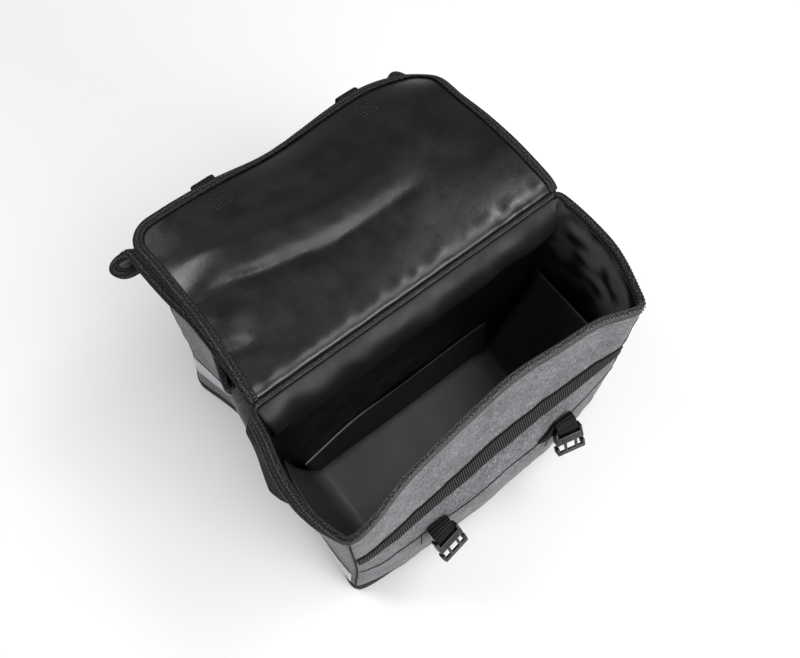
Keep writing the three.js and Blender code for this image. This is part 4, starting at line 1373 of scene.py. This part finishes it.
def build_lid_stitches(prefix, surface, to_row, straps):
    """A row of stitches on both faces of the lid's tape, and a crossed square at each strap's x."""
    bm = bmesh.new()

    def on_lid(place, stand):
        return to_row(surface(*place) + surface_normal(surface, *place) * stand)

    def stitch(start, end, stand, width=STITCH_WIDTH):
        here, there = on_lid(start, stand), on_lid(end, stand)
        middle = ((start[0] + end[0]) / 2, (start[1] + end[1]) / 2)
        out = (on_lid(middle, stand + math.copysign(1, stand)) - on_lid(middle, stand)).normalized()
        add_stitch(bm, (here + there) / 2, (there - here).normalized(), out, (there - here).length, width)

    for stand in (-LID_STITCH_STAND, LID_STITCH_STAND):
        for n in range(int((EDGE_TOTAL - 16) / STITCH_PITCH)):
            x, away, out_x, out_away = lid_edge(8 + STITCH_PITCH * n)
            x, away = x - out_x * LID_ROW, away - out_away * LID_ROW
            half_x, half_away = STITCH_HALF * out_away, -STITCH_HALF * out_x
            stitch((x - half_x, away - half_away), (x + half_x, away + half_away), stand)
    for middle in straps:
        left, right = middle - BOX_HALF, middle + BOX_HALF
        a, b, c, d = (left, BOX_START), (right, BOX_START), (right, BOX_END), (left, BOX_END)
        for start, end in ((a, b), (b, c), (c, d), (d, a), (a, c), (d, b)):
            for n in range(BOX_STITCHES):
                ends = [Vector(start).lerp(Vector(end), (n + t) / BOX_STITCHES) for t in (0.1, 0.8)]
                stitch(*ends, 1.1, BOX_STITCH_WIDTH)
    return new_object(f"{prefix}_lid_stitches", bm, [BLACK_THREAD])


# Camera, floor and light

# The camera's place in millimetres in the near bag's frame, the way it looks and its lens
CAMERA_PLACE = (-228.5, -260.2, 1021.5)
CAMERA_TURN = math.radians(-39.61)
CAMERA_RISE = math.radians(66.98)
CAMERA_ROLL = math.radians(1.68)
CAMERA_LENS = 39.437
CAMERA_SENSOR = 36
FLOOR_HALF = 6

# name, place, aim, size and power
SOFTBOXES = [
    ("front_softbox", (0.35, -2.1, 0.8), (0, 0, 0.2), (1.6, 0.9), 33),
    ("high_softbox", (0.5, -0.87, 1.98), (0, 0.1, 0.3), (1.6, 1.0), 16),
    ("back_softbox", (-0.9, 1.1, 2.1), (0, 0.2, 0.2), (1.0, 1.0), 22),
    ("top_softbox", (1.1, -0.1, 1.9), (0, 0, 0.1), (0.6, 0.6), 8),
]


def build_camera():
    level_share, rise_share = math.cos(CAMERA_RISE), math.sin(CAMERA_RISE)
    back = Vector((math.sin(CAMERA_TURN) * level_share, -math.cos(CAMERA_TURN) * level_share, rise_share))
    level = Vector((math.cos(CAMERA_TURN), math.sin(CAMERA_TURN), 0))
    upright = back.cross(level)
    right = level * math.cos(CAMERA_ROLL) + upright * math.sin(CAMERA_ROLL)
    up = upright * math.cos(CAMERA_ROLL) - level * math.sin(CAMERA_ROLL)
    data = bpy.data.cameras.new("camera")
    data.sensor_fit = "HORIZONTAL"
    data.sensor_width = CAMERA_SENSOR
    data.lens = CAMERA_LENS
    camera = bpy.data.objects.new("camera", data)
    bpy.context.collection.objects.link(camera)
    place = Matrix.Translation(near(CAMERA_PLACE))
    camera.matrix_world = place @ Matrix((right, up, back)).transposed().to_4x4()
    bpy.context.scene.camera = camera


def build_floor():
    bm = bmesh.new()
    bmesh.ops.create_grid(bm, x_segments=8, y_segments=8, size=FLOOR_HALF)
    mesh = bpy.data.meshes.new("floor")
    bm.to_mesh(mesh)
    bm.free()
    floor = bpy.data.objects.new("floor", mesh)
    bpy.context.collection.objects.link(floor)
    finish, _, _ = finish_tree("pale_floor", (0.94, 0.94, 0.94), 0.9)
    mesh.materials.append(finish)


def build_sky():
    """A grey studio, darker in a band behind the bags, so that the lid's gloss has something to show."""
    world = bpy.data.worlds.new("studio")
    bpy.context.scene.world = world
    world.use_nodes = True
    tree = world.node_tree
    facing = node(tree, "ShaderNodeTexCoord").outputs["Generated"]
    depth = node(tree, "ShaderNodeSeparateXYZ", {"Vector": facing}).outputs["Y"]
    share = node(tree, "ShaderNodeMapRange", {"Value": depth})
    share.inputs["From Min"].default_value = -1
    share.inputs["From Max"].default_value = 1
    sky = grey_ramp(tree, share.outputs["Result"], (0.3, 0.42), (0.58, 0.36), (0.72, 0.1), (0.95, 0.3))
    sky.node.color_ramp.interpolation = "EASE"
    tree.links.new(sky, tree.nodes["Background"].inputs["Color"])
    bpy.context.scene.view_settings.view_transform = "Standard"


def build_light(name, place, aim, size, power):
    data = bpy.data.lights.new(name, "AREA")
    data.shape = "RECTANGLE"
    data.size, data.size_y = size
    data.energy = power
    light = bpy.data.objects.new(name, data)
    bpy.context.collection.objects.link(light)
    light.location = place
    light.rotation_euler = (Vector(aim) - Vector(place)).to_track_quat("-Z", "Y").to_euler()


build_camera()
build_floor()
build_sky()
for softbox in SOFTBOXES:
    build_light(*softbox)

for prefix, form, to_row in (("near", NEAR_FORM, near), ("far", FAR_FORM, far)):
    build_shell(prefix, form, to_row)
    build_base(prefix, form, to_row)
    build_lining(prefix, form, to_row)
    build_rim_binding(prefix, form, to_row)
    build_band(prefix, form, to_row)
    build_reflector(prefix, "left", form, to_row)
    build_reflector(prefix, "right", form, to_row)
    build_side_strap(prefix, to_row)
    build_rim_stitches(prefix, form, to_row)
    build_seams(prefix, form, to_row)
    build_hinge(prefix, to_row)
build_lid("near", open_lid, near, [LID_LINING, HEATHER])
build_lid_binding("near", open_lid, near)
build_lid_stitches("near", open_lid, near, [row[1] for row in NEAR_BUCKLES])
build_lid("far", closed_lid, far, [LID_LINING, HEATHER])
build_lid_binding("far", closed_lid, far)
build_lid_stitches("far", closed_lid, far, [])
for row in NEAR_BUCKLES:
    name, x = row[:2]
    build_buckle_strap("near", NEAR_FORM, near, row)
    build_socket("near", near, row)
    build_lid_strap("near", name, open_lid, x, hang_over, HANG_LENGTH, near)
    build_plug(f"near_{name}_plug", False)
build_strap_tail(NEAR_FORM, NEAR_BUCKLES[1])
for row in FAR_BUCKLES:
    name, x = row[:2]
    build_buckle_strap("far", FAR_FORM, far, row)
    build_socket("far", far, row)
    lid_x = x - read(LID_SKEW, LID_DEPTH)
    plug_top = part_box(f"far_{name}_plug")[1].z * 1000
    hang = closed_lid(lid_x, LID_DEPTH).z - plug_top - 1
    build_lid_strap("far", name, closed_lid, lid_x, hang_down, hang, far)
    build_plug(f"far_{name}_plug", True)
build_bridge()
build_insert()
